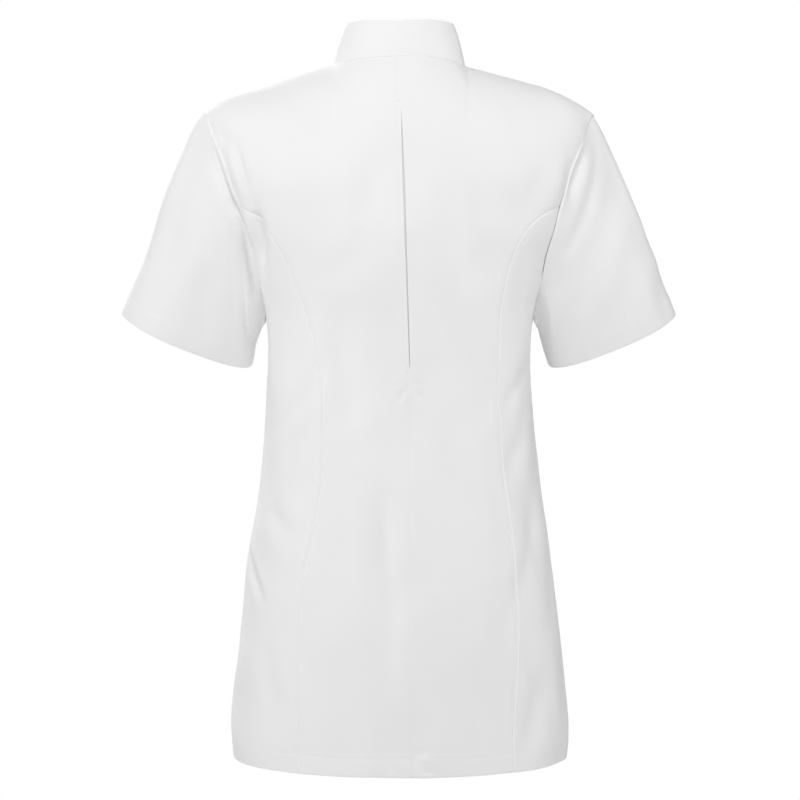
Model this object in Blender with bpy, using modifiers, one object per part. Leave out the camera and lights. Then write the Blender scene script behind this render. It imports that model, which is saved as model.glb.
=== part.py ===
"""Medical tunic, worn shape with no wearer, modelled as the pieces that a maker cuts and sews.

The cloth is shaped over one smooth form, which is a function of two numbers: the turn round the body
(0 at the centre back, positive towards the wearer's left) and the climb up it. Each panel is a sheet of
that form between its seams, so two panels share the points of the seam between them. Metres, +Z up,
the wearer faces -Y. The origin lies between the shoulders, level with the side of the neck.
"""
from math import cos, pi, sin

import bmesh
import bpy
import numpy as np

# ---- driving dimensions ------------------------------------------------------------------------
WALL = 0.0012           # thickness of the cloth's wall
GAP = 0.0003            # between two pieces at a seam
HEM = -0.691            # height of the hem
NECK = 0.067            # half the width of the neck opening
SHOULDER = 0.195        # half the width across the shoulders
SHOULDER_FALL = 0.333   # slope of the shoulder line
RIDGE_ROUND = 0.020     # rounding of the shoulder line at the middle
NAPE_RISE = 0.0165      # how far the form rises inside the neck
NECK_LEVEL = 0.001      # height of the side of the neck
TIP_START = 0.165       # where the shoulder line starts to bend down
TIP_BEND = 9.3          # how fast it bends, per metre
ROLL_MIDDLE = 0.120     # height of the rounded shoulder at the middle of the body
ROLL_TIP = 0.075        # and at the tip of the shoulder

# Level sections of the form, from the hem up.
SECTION_COLUMNS = ("height", "half_width", "back", "front", "square")
SECTIONS = (
    (-0.691, 0.1690, 0.133, 0.115, 2.10),
    (-0.674, 0.1700, 0.132, 0.115, 2.10),
    (-0.620, 0.1655, 0.129, 0.113, 2.10),
    (-0.550, 0.1580, 0.125, 0.111, 2.10),
    (-0.480, 0.1495, 0.115, 0.110, 2.15),
    (-0.414, 0.1390, 0.104, 0.110, 2.20),
    (-0.354, 0.1335, 0.095, 0.108, 2.20),
    (-0.304, 0.1320, 0.091, 0.111, 2.20),
    (-0.264, 0.1335, 0.091, 0.120, 2.25),
    (-0.246, 0.1360, 0.092, 0.124, 2.25),
    (-0.221, 0.1430, 0.094, 0.127, 2.30),
    (-0.192, 0.1525, 0.096, 0.126, 2.35),
    (-0.167, 0.1640, 0.097, 0.121, 2.40),
    (-0.141, 0.1735, 0.096, 0.113, 2.40),
    (-0.122, 0.1820, 0.095, 0.106, 2.40),
    (-0.086, 0.1890, 0.091, 0.091, 2.40),
    (-0.040, 0.1980, 0.088, 0.081, 2.40),
    (0.030, 0.2080, 0.086, 0.075, 2.40),
    (0.100, 0.2150, 0.085, 0.072, 2.40),
)

# Seams, as distances from the middle of the body at heights, from the hem up. The garment sits a
# little twisted on its form, so the back seams lean to the wearer's right at the waist.
CENTRE_BACK = (
    # height, x
    (-0.691, -0.0134), (-0.647, -0.0134), (-0.482, -0.0125), (-0.351, -0.0116), (-0.301, -0.0097),
    (-0.213, -0.0068), (-0.126, -0.0039), (-0.040, -0.0010), (0.006, 0.0),
)
PLEAT_SLIT = (
    # height, opening of the centre back seam
    (-0.301, 0.0003), (-0.290, 0.0010), (-0.213, 0.0016), (-0.126, 0.0030), (-0.052, 0.0012),
    (-0.040, 0.0003),
)
BACK_PRINCESS_LEFT = (
    # height, x
    (-0.691, 0.0992), (-0.617, 0.0982), (-0.570, 0.0974), (-0.532, 0.0956), (-0.484, 0.0899),
    (-0.445, 0.0822), (-0.397, 0.0756), (-0.359, 0.0748), (-0.315, 0.0749), (-0.291, 0.0798),
    (-0.262, 0.0877), (-0.233, 0.0975), (-0.198, 0.1112), (-0.1675, 0.1278), (-0.151, 0.1408),
)
BACK_PRINCESS_RIGHT = (
    (-0.691, -0.1100), (-0.662, -0.1100), (-0.600, -0.1141), (-0.562, -0.1153), (-0.524, -0.1145),
    (-0.495, -0.1117), (-0.437, -0.1061), (-0.384, -0.1004), (-0.330, -0.0947), (-0.277, -0.0957),
    (-0.243, -0.0976), (-0.218, -0.1024), (-0.196, -0.1081), (-0.174, -0.1169), (-0.157, -0.1287),
    (-0.147, -0.1418),
)
FRONT_PRINCESS = (
    (-0.691, 0.1020), (-0.560, 0.0940), (-0.440, 0.0820), (-0.350, 0.0740), (-0.280, 0.0790),
    (-0.225, 0.0900), (-0.180, 0.1090), (-0.150, 0.1310),
)
SIDE_SEAM_TURN = (
    # height, turn in degrees
    (-0.691, 81.0), (-0.560, 82.0), (-0.420, 84.0), (-0.320, 87.0), (-0.252, 90.0),
)
# Armhole, from the shoulder tip down to the underarm.
ARMHOLE_BACK = (
    # height, x
    (-0.072, 0.1821), (-0.087, 0.1756), (-0.105, 0.1695), (-0.122, 0.1641), (-0.141, 0.1561),
    (-0.167, 0.1494), (-0.192, 0.1429), (-0.221, 0.1397), (-0.241, 0.1368),
)
ARMHOLE_FRONT = (
    (-0.072, 0.1800), (-0.087, 0.1725), (-0.105, 0.1655), (-0.122, 0.1600), (-0.141, 0.1530),
    (-0.167, 0.1465), (-0.192, 0.1415), (-0.221, 0.1390), (-0.241, 0.1368),
)
PRINCESS_TOP = 4        # row of the armhole tables where the princess seams start
UNDERARM = -0.252       # height of the underarm
NECKLINE_BACK = (
    # height, x from the centre back to the side of the neck
    (0.0055, 0.0), (0.0050, 0.0200), (0.0040, 0.0370), (0.0025, 0.0510), (0.0005, 0.0615),
)
NECKLINE_FRONT = (
    # height, x from the middle, past the edge of the button band, to the side of the neck
    (-0.0750, 0.0), (-0.0735, 0.0160), (-0.0635, 0.0320), (-0.0470, 0.0460), (-0.0235, 0.0590),
)

# Number of squares along each seam.
PRINCESS_ROWS = 20
ARMHOLE_ROWS = 8
NECK_BACK_COLUMNS = 5
NECK_FRONT_ROWS = 7
SHOULDER_COLUMNS = 7
CLOSING = 0.5           # how much the rows draw together towards the armhole
TURN_METRIC = np.array([0.12, 1.0])     # metres of cloth to a radian of turn, and to a metre of climb

# Soft folds pressed into the back: from one end to the other, with the half width and the depth.
FOLD_COLUMNS = ("x0", "z0", "x1", "z1", "half_width", "depth")
FOLD_END = 0.35         # depth at the ends of a fold, as a share of that at its middle
BACK_FOLDS = (
    (0.165, -0.108, 0.150, -0.168, 0.007, 0.0030),
    (0.161, -0.072, 0.143, -0.136, 0.009, 0.0025),
    (0.150, -0.152, 0.130, -0.200, 0.012, 0.0050),
    (0.148, -0.486, 0.132, -0.530, 0.008, 0.0030),
    (0.120, -0.350, 0.082, -0.300, 0.012, 0.0020),
    (-0.128, -0.300, -0.100, -0.345, 0.010, 0.0022),
    (-0.126, -0.365, -0.104, -0.420, 0.012, 0.0022),
    (0.016, -0.410, 0.014, -0.560, 0.012, 0.0018),
)

# Sleeve: the cuff is an oval square to the arm.
CUFF_CENTRE = (0.2145, -0.034, -0.2735)
CUFF_WIDE = 0.0695      # half the width of the cuff, seen from behind
CUFF_DEEP = 0.0490      # half its depth
ARM_OUT = 22.4          # degrees that the arm leans out
ARM_FORWARD = 11.0      # degrees that it leans forward
SLEEVE_ROWS = 11
SLEEVE_LENGTH = 0.180   # down the middle of the sleeve
SLEEVE_START = 0.45     # length of the path's start tangent against its chord
SLEEVE_END = 0.75       # length of its end tangent
SLEEVE_GAP = 0.0002     # between the sleeve's first ring and the seam line, half of which is the panels'
SLEEVE_LEAN = 3.0       # how strongly the sleeve's edge takes the direction of the panels' wall
# Its folds run from one end to the other by the share of the way round, from the top over the back, and
# the share of the way down from the armhole. Half width and depth follow.
SLEEVE_FOLDS_LEFT = (
    # round, down, round, down, half_width, depth
    (0.390, 0.12, 0.430, 0.80, 0.014, 0.0090),
    (0.300, 0.10, 0.350, 0.75, 0.012, 0.0035),
    (0.700, 0.10, 0.640, 0.70, 0.012, 0.0035),
)
SLEEVE_FOLDS_RIGHT = (
    (0.190, 0.08, 0.270, 0.34, 0.010, 0.0040),
    (0.130, 0.16, 0.300, 0.62, 0.011, 0.0030),
    (0.400, 0.20, 0.440, 0.80, 0.013, 0.0070),
    (0.700, 0.10, 0.640, 0.70, 0.012, 0.0035),
)

# Stand collar.
COLLAR_HEIGHT = (
    # share of the way from the centre back to the front end, height of the stand
    (0.0, 0.0375), (0.35, 0.0425), (0.60, 0.0400), (1.0, 0.0340),
)
COLLAR_LEAN = (
    # the same share, lean towards the neck in degrees
    (0.0, 10.0), (0.35, 17.5), (0.60, 18.5), (1.0, 17.0),
)
COLLAR_END = 0.001      # each front end stops this far from the middle
COLLAR_CORNER = 0.013   # radius of its corners
COLLAR_ROWS = 3
COLLAR_CORNER_STEPS = 5
COLLAR_CENTRE = np.array([0.0, -0.012, 0.0])    # what the stand leans towards

# Button band and buttons.
BAND_HALF = 0.016
BAND_GAP = 0.0006       # between the band and the front under it
UNDERLAP = 0.0145       # how far the left front reaches over the middle, under the band
MIDDLE = 1e-6           # just to the left of the middle, where the turn is half a circle
BUTTON_COUNT = 6
BUTTON_TOP = -0.098
BUTTON_STEP = 0.094
BUTTON_RADIUS = 0.0085
BUTTON_THICK = 0.0030
BUTTON_SIDES = 20
BUTTON_SEAT = 0.0006    # clearance under a button, whose band curves

# Cloth behind the back pleat.
UNDERLAY_HALF = 0.022
UNDERLAY_LOW = -0.335   # its ends, past both ends of the slit
UNDERLAY_HIGH = -0.005
UNDERLAY_COLUMNS = 5
UNDERLAY_GAP = 0.0008   # behind the back panels, whose squares differ a little from its own

# Colour and roughness
WHITE_CLOTH = (0.86, 0.87, 0.89, 0.85)
WHITE_BUTTON = (0.90, 0.90, 0.88, 0.35)


# ---- the form ----------------------------------------------------------------------------------
def columns(rows, names):
    """A table's columns by name."""
    return dict(zip(names, np.array(rows, dtype=float).T))


def smooth(at, stations, values):
    """Curve through the values at the stations, each slope being that of its two neighbours."""
    slopes = np.gradient(values, stations)
    low = np.clip(np.searchsorted(stations, at) - 1, 0, len(stations) - 2)
    span = stations[low + 1] - stations[low]
    s = np.clip((at - stations[low]) / span, 0.0, 1.0)
    rise = s * s * (3 - 2 * s)
    leave = s * (1 - s) ** 2 * span * slopes[low]
    arrive = s * s * (s - 1) * span * slopes[low + 1]
    return values[low] + rise * (values[low + 1] - values[low]) + leave + arrive


SECTION = columns(SECTIONS, SECTION_COLUMNS)


def section(climb, name):
    return smooth(climb, SECTION["height"], SECTION[name])


def ridge(x):
    """Height of the shoulder line: a straight fall, a dome inside the neck and a bend at the tip."""
    across = np.hypot(x, RIDGE_ROUND)
    fall = NECK_LEVEL + SHOULDER_FALL * (np.hypot(NECK, RIDGE_ROUND) - across)
    dome = NAPE_RISE * np.clip(1 - (x / NECK) ** 2, 0, None)
    return fall + dome - TIP_BEND * np.clip(np.abs(x) - TIP_START, 0, None) ** 2


def roll_height(x):
    return ROLL_MIDDLE - (ROLL_MIDDLE - ROLL_TIP) * (x / SHOULDER) ** 2


def form(turn, climb):
    """Points of the form. A level section is a squared oval of the turn. Above the spring line, a roll
    height under the shoulder line, the climb bends over a quarter circle onto that line."""
    depth = np.where(np.cos(turn) > 0, section(climb, "back"), section(climb, "front"))
    square = section(climb, "square")
    wide = np.abs(np.sin(turn)) / section(climb, "half_width")
    reach = (wide ** square + (np.abs(np.cos(turn)) / depth) ** square) ** (-1 / square)
    x = reach * np.sin(turn)
    roll = roll_height(x)
    spring = ridge(x) - roll
    over = np.clip((climb - spring) / roll, 0, pi / 2)
    y = reach * np.cos(turn) * np.cos(over)
    z = np.minimum(climb, spring) + roll * np.sin(over)
    return np.stack([x, y, z], axis=-1)


def form_normals(turn, climb):
    """Outward directions, from small steps round and up the form."""
    step = 1e-4
    round_body = form(turn + step, climb) - form(turn - step, climb)
    up = form(turn, climb + step) - form(turn, climb - step)
    return unit(np.cross(up, round_body))


def unit(vectors):
    return vectors / np.maximum(np.linalg.norm(vectors, axis=-1, keepdims=True), 1e-12)


def place(x, height, back=True):
    """Turn and climb of the point of the form at this x and height, on the back or the front."""
    x, height = np.asarray(x, dtype=float), np.asarray(height, dtype=float)
    roll = roll_height(x)
    spring = ridge(x) - roll
    over = np.arcsin(np.clip((height - spring) / roll, -1, 1))
    climb = np.where(height > spring, spring + roll * over, height)
    share = np.clip(np.abs(x) / section(climb, "half_width"), 0, 1)
    square = section(climb, "square")
    depth = section(climb, "back" if back else "front") * (1 - share ** square) ** (1 / square)
    return np.stack([np.arctan2(x, depth if back else -depth), climb], axis=-1)


def shoulder_line(x, back=True):
    """Turn and climb along the shoulder line."""
    x = np.asarray(x, dtype=float)
    return place(x, ridge(x), back)


# ---- seams, each a list of (turn, climb) -------------------------------------------------------
def even(squares):
    return np.linspace(0, 1, squares + 1)


def closing(squares):
    """Shares from 0 to 1 whose steps shorten steadily towards the end, where the seams curve most."""
    share = even(squares)
    return share * (1 + CLOSING * (1 - share))


def through(points, spans):
    """Points along the smooth curve through the given ones. Each span is the index of the point that
    ends it and its shares of the way there."""
    points = np.array(points)
    lengths = np.linalg.norm(np.diff(points, axis=0) * TURN_METRIC, axis=1)
    stations = np.concatenate([[0.0], np.cumsum(lengths)])
    at, start = [stations[:1]], stations[0]
    for index, shares in spans:
        at.append(start + (stations[index] - start) * shares[1:])
        start = stations[index]
    at = np.concatenate(at)
    return np.stack([smooth(at, stations, points[:, k]) for k in range(2)], axis=-1)


def armhole(side, back):
    """From the tip of the shoulder to the underarm, in two spans that meet at the princess seam."""
    heights, xs = np.array(ARMHOLE_BACK if back else ARMHOLE_FRONT).T
    points = [shoulder_line(SHOULDER * side, back)]
    points += list(place(xs * side, heights, back))
    points.append(np.array([side * pi / 2, UNDERARM]))
    half = even(ARMHOLE_ROWS)
    return through(points, ((PRINCESS_TOP + 1, half), (len(points) - 1, half)))


def princess(side, back):
    """From the hem up to the armhole."""
    if back:
        rows = BACK_PRINCESS_LEFT if side > 0 else BACK_PRINCESS_RIGHT
        heights, xs = np.array(rows).T
    else:
        heights, xs = np.array(FRONT_PRINCESS).T
        xs = xs * side
    points = list(place(xs, heights, back)) + [armhole(side, back)[ARMHOLE_ROWS]]
    return through(points, ((len(points) - 1, closing(PRINCESS_ROWS)),))


def side_seam(side):
    heights, turns = np.array(SIDE_SEAM_TURN).T
    climb = HEM + (UNDERARM - HEM) * closing(PRINCESS_ROWS)
    return np.stack([side * np.radians(smooth(climb, heights, turns)), climb], axis=-1)


def neckline(side, back):
    """To the side of the neck, from the centre back or from the inner edge of the front. The right
    front starts at the edge of the button band, and the left one as far over under the band."""
    heights, xs = np.array(NECKLINE_BACK if back else NECKLINE_FRONT).T
    first, squares = 0, NECK_BACK_COLUMNS if back else NECK_FRONT_ROWS
    if not back and side > 0:
        heights, xs = np.append(heights[1], heights), np.append(-UNDERLAP, xs)
        first = 1
    if not back and side < 0:
        heights, xs = heights[1:], xs[1:]
    points = np.concatenate([place(xs * side, heights, back), shoulder_line([NECK * side], back)])
    points = unwrap(points, side)
    return through(points, ((first, even(first)), (len(points) - 1, even(squares - first))))


def shoulder(side, back):
    """From the side of the neck to the tip of the shoulder."""
    return shoulder_line(side * np.linspace(NECK, SHOULDER, SHOULDER_COLUMNS + 1), back)


def level_rows(top_climb, break_climb):
    """Climbs from the hem to the break, level with the top of the princess seam, and on to the neck."""
    low = HEM + (break_climb - HEM) * closing(PRINCESS_ROWS)
    return np.concatenate([low, np.linspace(break_climb, top_climb, ARMHOLE_ROWS + 1)[1:]])


def centre_back(top_climb, break_climb):
    heights, xs = np.array(CENTRE_BACK).T
    climb = level_rows(top_climb, break_climb)
    x = smooth(climb, heights, xs)
    return np.stack([np.arctan2(x, section(climb, "back")), climb], axis=-1)


def front_edge(x, top_height):
    """A line up the front at one distance from the middle, from the hem to the neckline."""
    top_climb = place(x, top_height, back=False)[1]
    climb = HEM + (top_climb - HEM) * closing(PRINCESS_ROWS + ARMHOLE_ROWS - NECK_FRONT_ROWS)
    share = np.abs(x) / section(climb, "half_width")
    square = section(climb, "square")
    depth = section(climb, "front") * (1 - share ** square) ** (1 / square)
    return np.stack([np.arctan2(x, -depth), climb], axis=-1)


# ---- sheets of the form ------------------------------------------------------------------------
def coons(bottom, top, left, right):
    """Grid between four edges: the sum of the two blends across less the blend of the corners."""
    s = np.linspace(0, 1, len(bottom))[None, :, None]
    v = np.linspace(0, 1, len(left))[:, None, None]
    across = (1 - v) * bottom[None] + v * top[None]
    up = (1 - s) * left[:, None] + s * right[:, None]
    corners = (1 - v) * ((1 - s) * bottom[0] + s * bottom[-1]) + v * ((1 - s) * top[0] + s * top[-1])
    return across + up - corners


def press(points, normals, table, names):
    """Pushes points in along their normals by each fold's depth, fading over its half width and ends."""
    rows = columns(table, names)
    depth = np.zeros(points.shape[:-1])
    for x0, z0, x1, z1, half_width, most in zip(*(rows[name] for name in names)):
        run = np.array([x1 - x0, z1 - z0])
        offset = points[..., (0, 2)] - np.array([x0, z0])
        length = np.hypot(*run)
        share = offset @ run / length ** 2
        away = (offset[..., 0] * run[1] - offset[..., 1] * run[0]) / length
        beyond = np.clip(np.maximum(-share, share - 1), 0, None) * length
        taper = FOLD_END + (1 - FOLD_END) * np.sin(pi * np.clip(share, 0, 1))
        depth += most * taper * np.exp(-((away ** 2 + beyond ** 2) / half_width ** 2))
    return points - normals * depth[..., None]


def panel_points(grid, back):
    """Points and normals of a sheet, with the back's folds."""
    turn, climb = grid[..., 0], grid[..., 1]
    points, normals = form(turn, climb), form_normals(turn, climb)
    if back:
        points = press(points, normals, BACK_FOLDS, FOLD_COLUMNS)
    return points, normals


def draw_in(points, normals, gaps):
    """Moves each edge of a grid into its sheet by half its gap. gaps holds bottom, top, left, right."""
    moved = points.copy()
    for edge, gap in gaps.items():
        flip = edge in ("left", "right")
        line = points.swapaxes(0, 1) if flip else points
        outward = normals.swapaxes(0, 1) if flip else normals
        target = moved.swapaxes(0, 1) if flip else moved
        first, second = (0, 1) if edge in ("bottom", "left") else (-1, -2)
        run = np.gradient(line[first], axis=0)
        inward = unit(np.cross(outward[first], run))
        into = line[second] - line[first]
        inward *= np.sign(np.sum(np.sum(inward * into, axis=-1)))
        target[first] += inward * np.reshape(np.asarray(gap) / 2, (-1, 1))
    return moved


# ---- Blender objects ---------------------------------------------------------------------------
def material(name, look):
    made = bpy.data.materials.new(name)
    made.use_nodes = True
    shader = made.node_tree.nodes["Principled BSDF"]
    shader.inputs["Base Color"].default_value = (*look[:3], 1.0)
    shader.inputs["Roughness"].default_value = look[3]
    shader.inputs["Metallic"].default_value = 0.0
    return made


def new_object(name, mesh, collection, finish):
    mesh.materials.append(finish)
    made = bpy.data.objects.new(name, mesh)
    collection.objects.link(made)
    return made


def grid_faces(index):
    """Squares between the neighbours of a grid of vertex numbers."""
    corners = (index[:-1, :-1], index[:-1, 1:], index[1:, 1:], index[1:, :-1])
    return np.stack(corners, axis=-1).reshape(-1, 4)


def sheet(name, points, collection, finish):
    """A grid of points as an open sheet, given its wall by Solidify."""
    index = np.arange(points[..., 0].size).reshape(points.shape[:2])
    mesh = bpy.data.meshes.new(name)
    mesh.from_pydata(points.reshape(-1, 3).tolist(), [], grid_faces(index).tolist())
    mesh.shade_smooth()
    made = new_object(name, mesh, collection, finish)
    solidify = made.modifiers.new("wall", "SOLIDIFY")
    solidify.thickness = WALL
    solidify.offset = -1.0


def mitred_sheet(name, outer, inward, collection, finish, tube=False):
    """A grid of points with its wall along the given directions, which two pieces share at a seam, so
    that their edges stay parallel there. Solidify would splay them. A tube closes its last column."""
    index = np.arange(outer[..., 0].size).reshape(outer.shape[:2])
    if tube:
        index = np.concatenate([index, index[:, :1]], axis=1)
    outside = grid_faces(index)
    edges = [(index[0, :-1], index[0, 1:]), (index[-1, 1:], index[-1, :-1])]
    if not tube:
        edges += [(index[:-1, -1], index[1:, -1]), (index[1:, 0], index[:-1, 0])]
    count = outer[..., 0].size
    rims = [np.stack([end, start, start + count, end + count], axis=-1) for start, end in edges]
    faces = np.concatenate([outside, outside[:, ::-1] + count] + rims)
    vertices = np.concatenate([outer.reshape(-1, 3), (outer + inward * WALL).reshape(-1, 3)])
    mesh = bpy.data.meshes.new(name)
    mesh.from_pydata(vertices.tolist(), [], faces.tolist())
    mesh.shade_smooth()
    mesh.set_sharp_from_angle(angle=pi / 3)
    new_object(name, mesh, collection, finish)


def faces_outward(points, normals):
    """Whether the grid's squares face the way of the normals."""
    across = points[:-1, 1:] - points[:-1, :-1]
    up = points[1:, :-1] - points[:-1, :-1]
    return np.sum(np.cross(across, up) * normals[:-1, :-1]) > 0


def turned_out(points, normals):
    """The grid and its normals, with the columns swapped round where its squares would face inwards."""
    if faces_outward(points, normals):
        return points, normals
    return points[:, ::-1], normals[:, ::-1]


# ---- pieces ------------------------------------------------------------------------------------
def back_grid(side):
    hole = armhole(side, True)[:ARMHOLE_ROWS + 1][::-1]
    right = np.concatenate([princess(side, True), hole[1:]])
    top = np.concatenate([neckline(side, True), shoulder(side, True)[1:]])
    left = centre_back(top[0, 1], hole[0, 1])
    bottom = np.linspace(left[0], right[0], len(top))
    return coons(bottom, top, left, right)


def front_grid(side):
    """The front, whose inner edge runs on along the neckline."""
    hole = armhole(side, False)[:ARMHOLE_ROWS + 1][::-1]
    right = np.concatenate([princess(side, False), hole[1:]])
    top = shoulder(side, False)
    inner = front_edge(-BAND_HALF if side < 0 else -UNDERLAP, NECKLINE_FRONT[1][0])
    left, right, top = (unwrap(edge, side) for edge in (inner, right, top))
    left = np.concatenate([left, neckline(side, False)[1:]])
    bottom = np.linspace(left[0], right[0], len(top))
    return coons(bottom, top, left, right)


def unwrap(edge, side):
    """Turns on one side of the body, kept between 0 and half a turn on that side."""
    edge = edge.copy()
    edge[..., 0] = side * np.mod(edge[..., 0] * side, 2 * pi)
    return edge


def side_grid(side, back):
    """The side panel, whose top edge is the lower half of the armhole."""
    top = armhole(side, back)[ARMHOLE_ROWS:]
    left, right = princess(side, back), side_seam(side)
    bottom = np.linspace(left[0], right[0], len(top))
    return coons(bottom, top, left, right)


def band_lines():
    """The three lines up the front of the button band."""
    middle_height, edge_height = NECKLINE_FRONT[0][0], NECKLINE_FRONT[1][0]
    lines = [front_edge(-BAND_HALF, edge_height),
             front_edge(MIDDLE, middle_height),
             front_edge(BAND_HALF, edge_height)]
    grid = np.stack(lines, axis=1)
    grid[..., 0] = np.mod(grid[..., 0], 2 * pi)
    return grid


def slit_gap(climb):
    """Opening of the centre back seam: the seam's gap, and the pleat's slit between its bar tacks."""
    heights, openings = np.array(PLEAT_SLIT).T
    return np.interp(climb, heights, openings, left=GAP, right=GAP)


def build_panel(name, grid, back, gaps, collection, cloth):
    points, normals = panel_points(grid, back)
    points, normals = turned_out(draw_in(points, normals, gaps), normals)
    mitred_sheet(name, points, -normals, collection, cloth)


def build_panels(collection, cloth):
    for side, name in ((1, "left"), (-1, "right")):
        grid = back_grid(side)
        gaps = {"top": GAP, "left": slit_gap(grid[:, 0, 1]), "right": GAP}
        build_panel(f"back_{name}", grid, True, gaps, collection, cloth)

        grid = front_grid(side)
        gaps = {"top": GAP, "left": GAP, "right": GAP}
        build_panel(f"front_{name}", grid, False, gaps, collection, cloth)
        build_panel(f"back_side_{name}", side_grid(side, True), True, gaps, collection, cloth)
        build_panel(f"front_side_{name}", side_grid(side, False), False, gaps, collection, cloth)


def sleeve_loop(side):
    """The armhole as one loop: tip of the shoulder, back, underarm, front. Points and directions that
    carry the body's surface on across the seam."""
    back, front = armhole(side, True), armhole(side, False)[::-1]
    grid = np.concatenate([back, front[1:-1]])
    is_back = np.arange(len(grid)) < len(back)
    points, normals = form(grid[:, 0], grid[:, 1]), form_normals(grid[:, 0], grid[:, 1])
    pressed = press(points, normals, BACK_FOLDS, FOLD_COLUMNS)
    points = np.where(is_back[:, None], pressed, points)
    run = np.roll(points, -1, axis=0) - np.roll(points, 1, axis=0)
    onward = unit(np.cross(run, normals)) * side
    return points, normals, onward


def cuff_loop(side, count):
    """An oval square to the arm, starting at its outer side and going round over the back."""
    out, forward = np.radians(ARM_OUT), np.radians(ARM_FORWARD)
    arm = unit(np.array([side * sin(out) * cos(forward), -sin(forward), -cos(out) * cos(forward)]))
    wide = unit(np.cross(np.array([0.0, 1.0, 0.0]), arm)) * -side
    deep = unit(np.cross(arm, wide)) * side
    deep *= np.sign(deep[1])
    angle = np.linspace(0, 2 * pi, count, endpoint=False)[:, None]
    centre = np.array(CUFF_CENTRE) * np.array([side, 1, 1])
    return centre + CUFF_WIDE * np.cos(angle) * wide + CUFF_DEEP * np.sin(angle) * deep, arm


def sleeve_points(side):
    """Each line of the sleeve leaves the armhole along the body's surface, where that leads down the
    arm, and arrives along the arm: a cubic with those two tangents."""
    loop, normals, onward = sleeve_loop(side)
    cuff, arm = cuff_loop(side, len(loop))
    chord = cuff - loop
    length = np.linalg.norm(chord, axis=-1, keepdims=True)
    ahead = chord / length
    follow = np.clip(np.sum(onward * ahead, axis=-1, keepdims=True), 0, 1)
    start = unit(follow * onward + (1 - follow) * ahead) * length * SLEEVE_START
    end = unit(ahead + arm) * length * SLEEVE_END
    s = np.linspace(0, 1, SLEEVE_ROWS + 1)[:, None, None]
    rise = s * s * (3 - 2 * s)
    return loop + rise * chord + s * (1 - s) ** 2 * start + s * s * (s - 1) * end


def tube_normals(points):
    """Outward directions of a tube of rings."""
    round_arm = np.roll(points, -1, axis=1) - np.roll(points, 1, axis=1)
    outward = unit(np.cross(np.gradient(points, axis=0), round_arm))
    middle = points.mean(axis=1, keepdims=True)
    return outward * np.sign(np.sum(outward * (points - middle)))


def sleeve_folds(points, table):
    """Folds pressed into the tube along lines given by shares of the way round and down."""
    rows, cols = points.shape[:2]
    around = (np.arange(cols) / cols)[None, :]
    along = (np.arange(rows) / (rows - 1))[:, None]
    girth = np.linalg.norm(np.roll(points, -1, axis=1) - points, axis=-1).sum(axis=1, keepdims=True)
    depth = np.zeros((rows, cols))
    for round0, down0, round1, down1, half_width, most in table:
        share = np.clip((along - down0) / (down1 - down0), 0, 1)
        line = round0 + (round1 - round0) * share
        away = (np.mod(around - line + 0.5, 1.0) - 0.5) * girth
        beyond = np.clip(np.maximum(down0 - along, along - down1), 0, None) * SLEEVE_LENGTH
        taper = FOLD_END + (1 - FOLD_END) * np.sin(pi * share)
        depth += most * taper * np.exp(-((away ** 2 + beyond ** 2) / half_width ** 2))
    depth[0] = 0
    return points - tube_normals(points) * depth[..., None]


def build_sleeves(collection, cloth):
    for side, name, folds in ((1, "left", SLEEVE_FOLDS_LEFT), (-1, "right", SLEEVE_FOLDS_RIGHT)):
        body_normals = sleeve_loop(side)[1]
        points = sleeve_folds(sleeve_points(side), folds)
        normals = tube_normals(points)
        run = np.roll(points[0], -1, axis=0) - np.roll(points[0], 1, axis=0)
        away = unit(np.cross(normals[0], run))
        away *= np.sign(np.sum(away * (points[1] - points[0])))
        agree = np.clip(np.sum(normals[0] * body_normals, axis=-1, keepdims=True), 0, 1)
        normals[0] = unit(normals[0] + SLEEVE_LEAN * agree * body_normals)
        points[0] += away * SLEEVE_GAP
        if not faces_outward(points, normals):
            points, normals = points[:, ::-1], normals[:, ::-1]
        mitred_sheet(f"sleeve_{name}", points, -normals, collection, cloth, tube=True)


def collar_base(side):
    """Half of the neckline from the centre back to the middle of the front, just clear of the panels."""
    front = neckline(side, False)[::-1]
    front = front[form(*front.T)[:, 0] * side > MIDDLE]
    back = neckline(side, True)
    middle = unwrap(band_lines()[-1:, 1], side)
    grid = np.concatenate([back, front[1:], middle])
    points, normals = form(grid[:, 0], grid[:, 1]), form_normals(grid[:, 0], grid[:, 1])
    onward = unit(np.cross(np.gradient(points, axis=0), normals)) * side
    return points + onward * GAP


def arc_length(points):
    return np.concatenate([[0.0], np.cumsum(np.linalg.norm(np.diff(points, axis=0), axis=1))])


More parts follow.
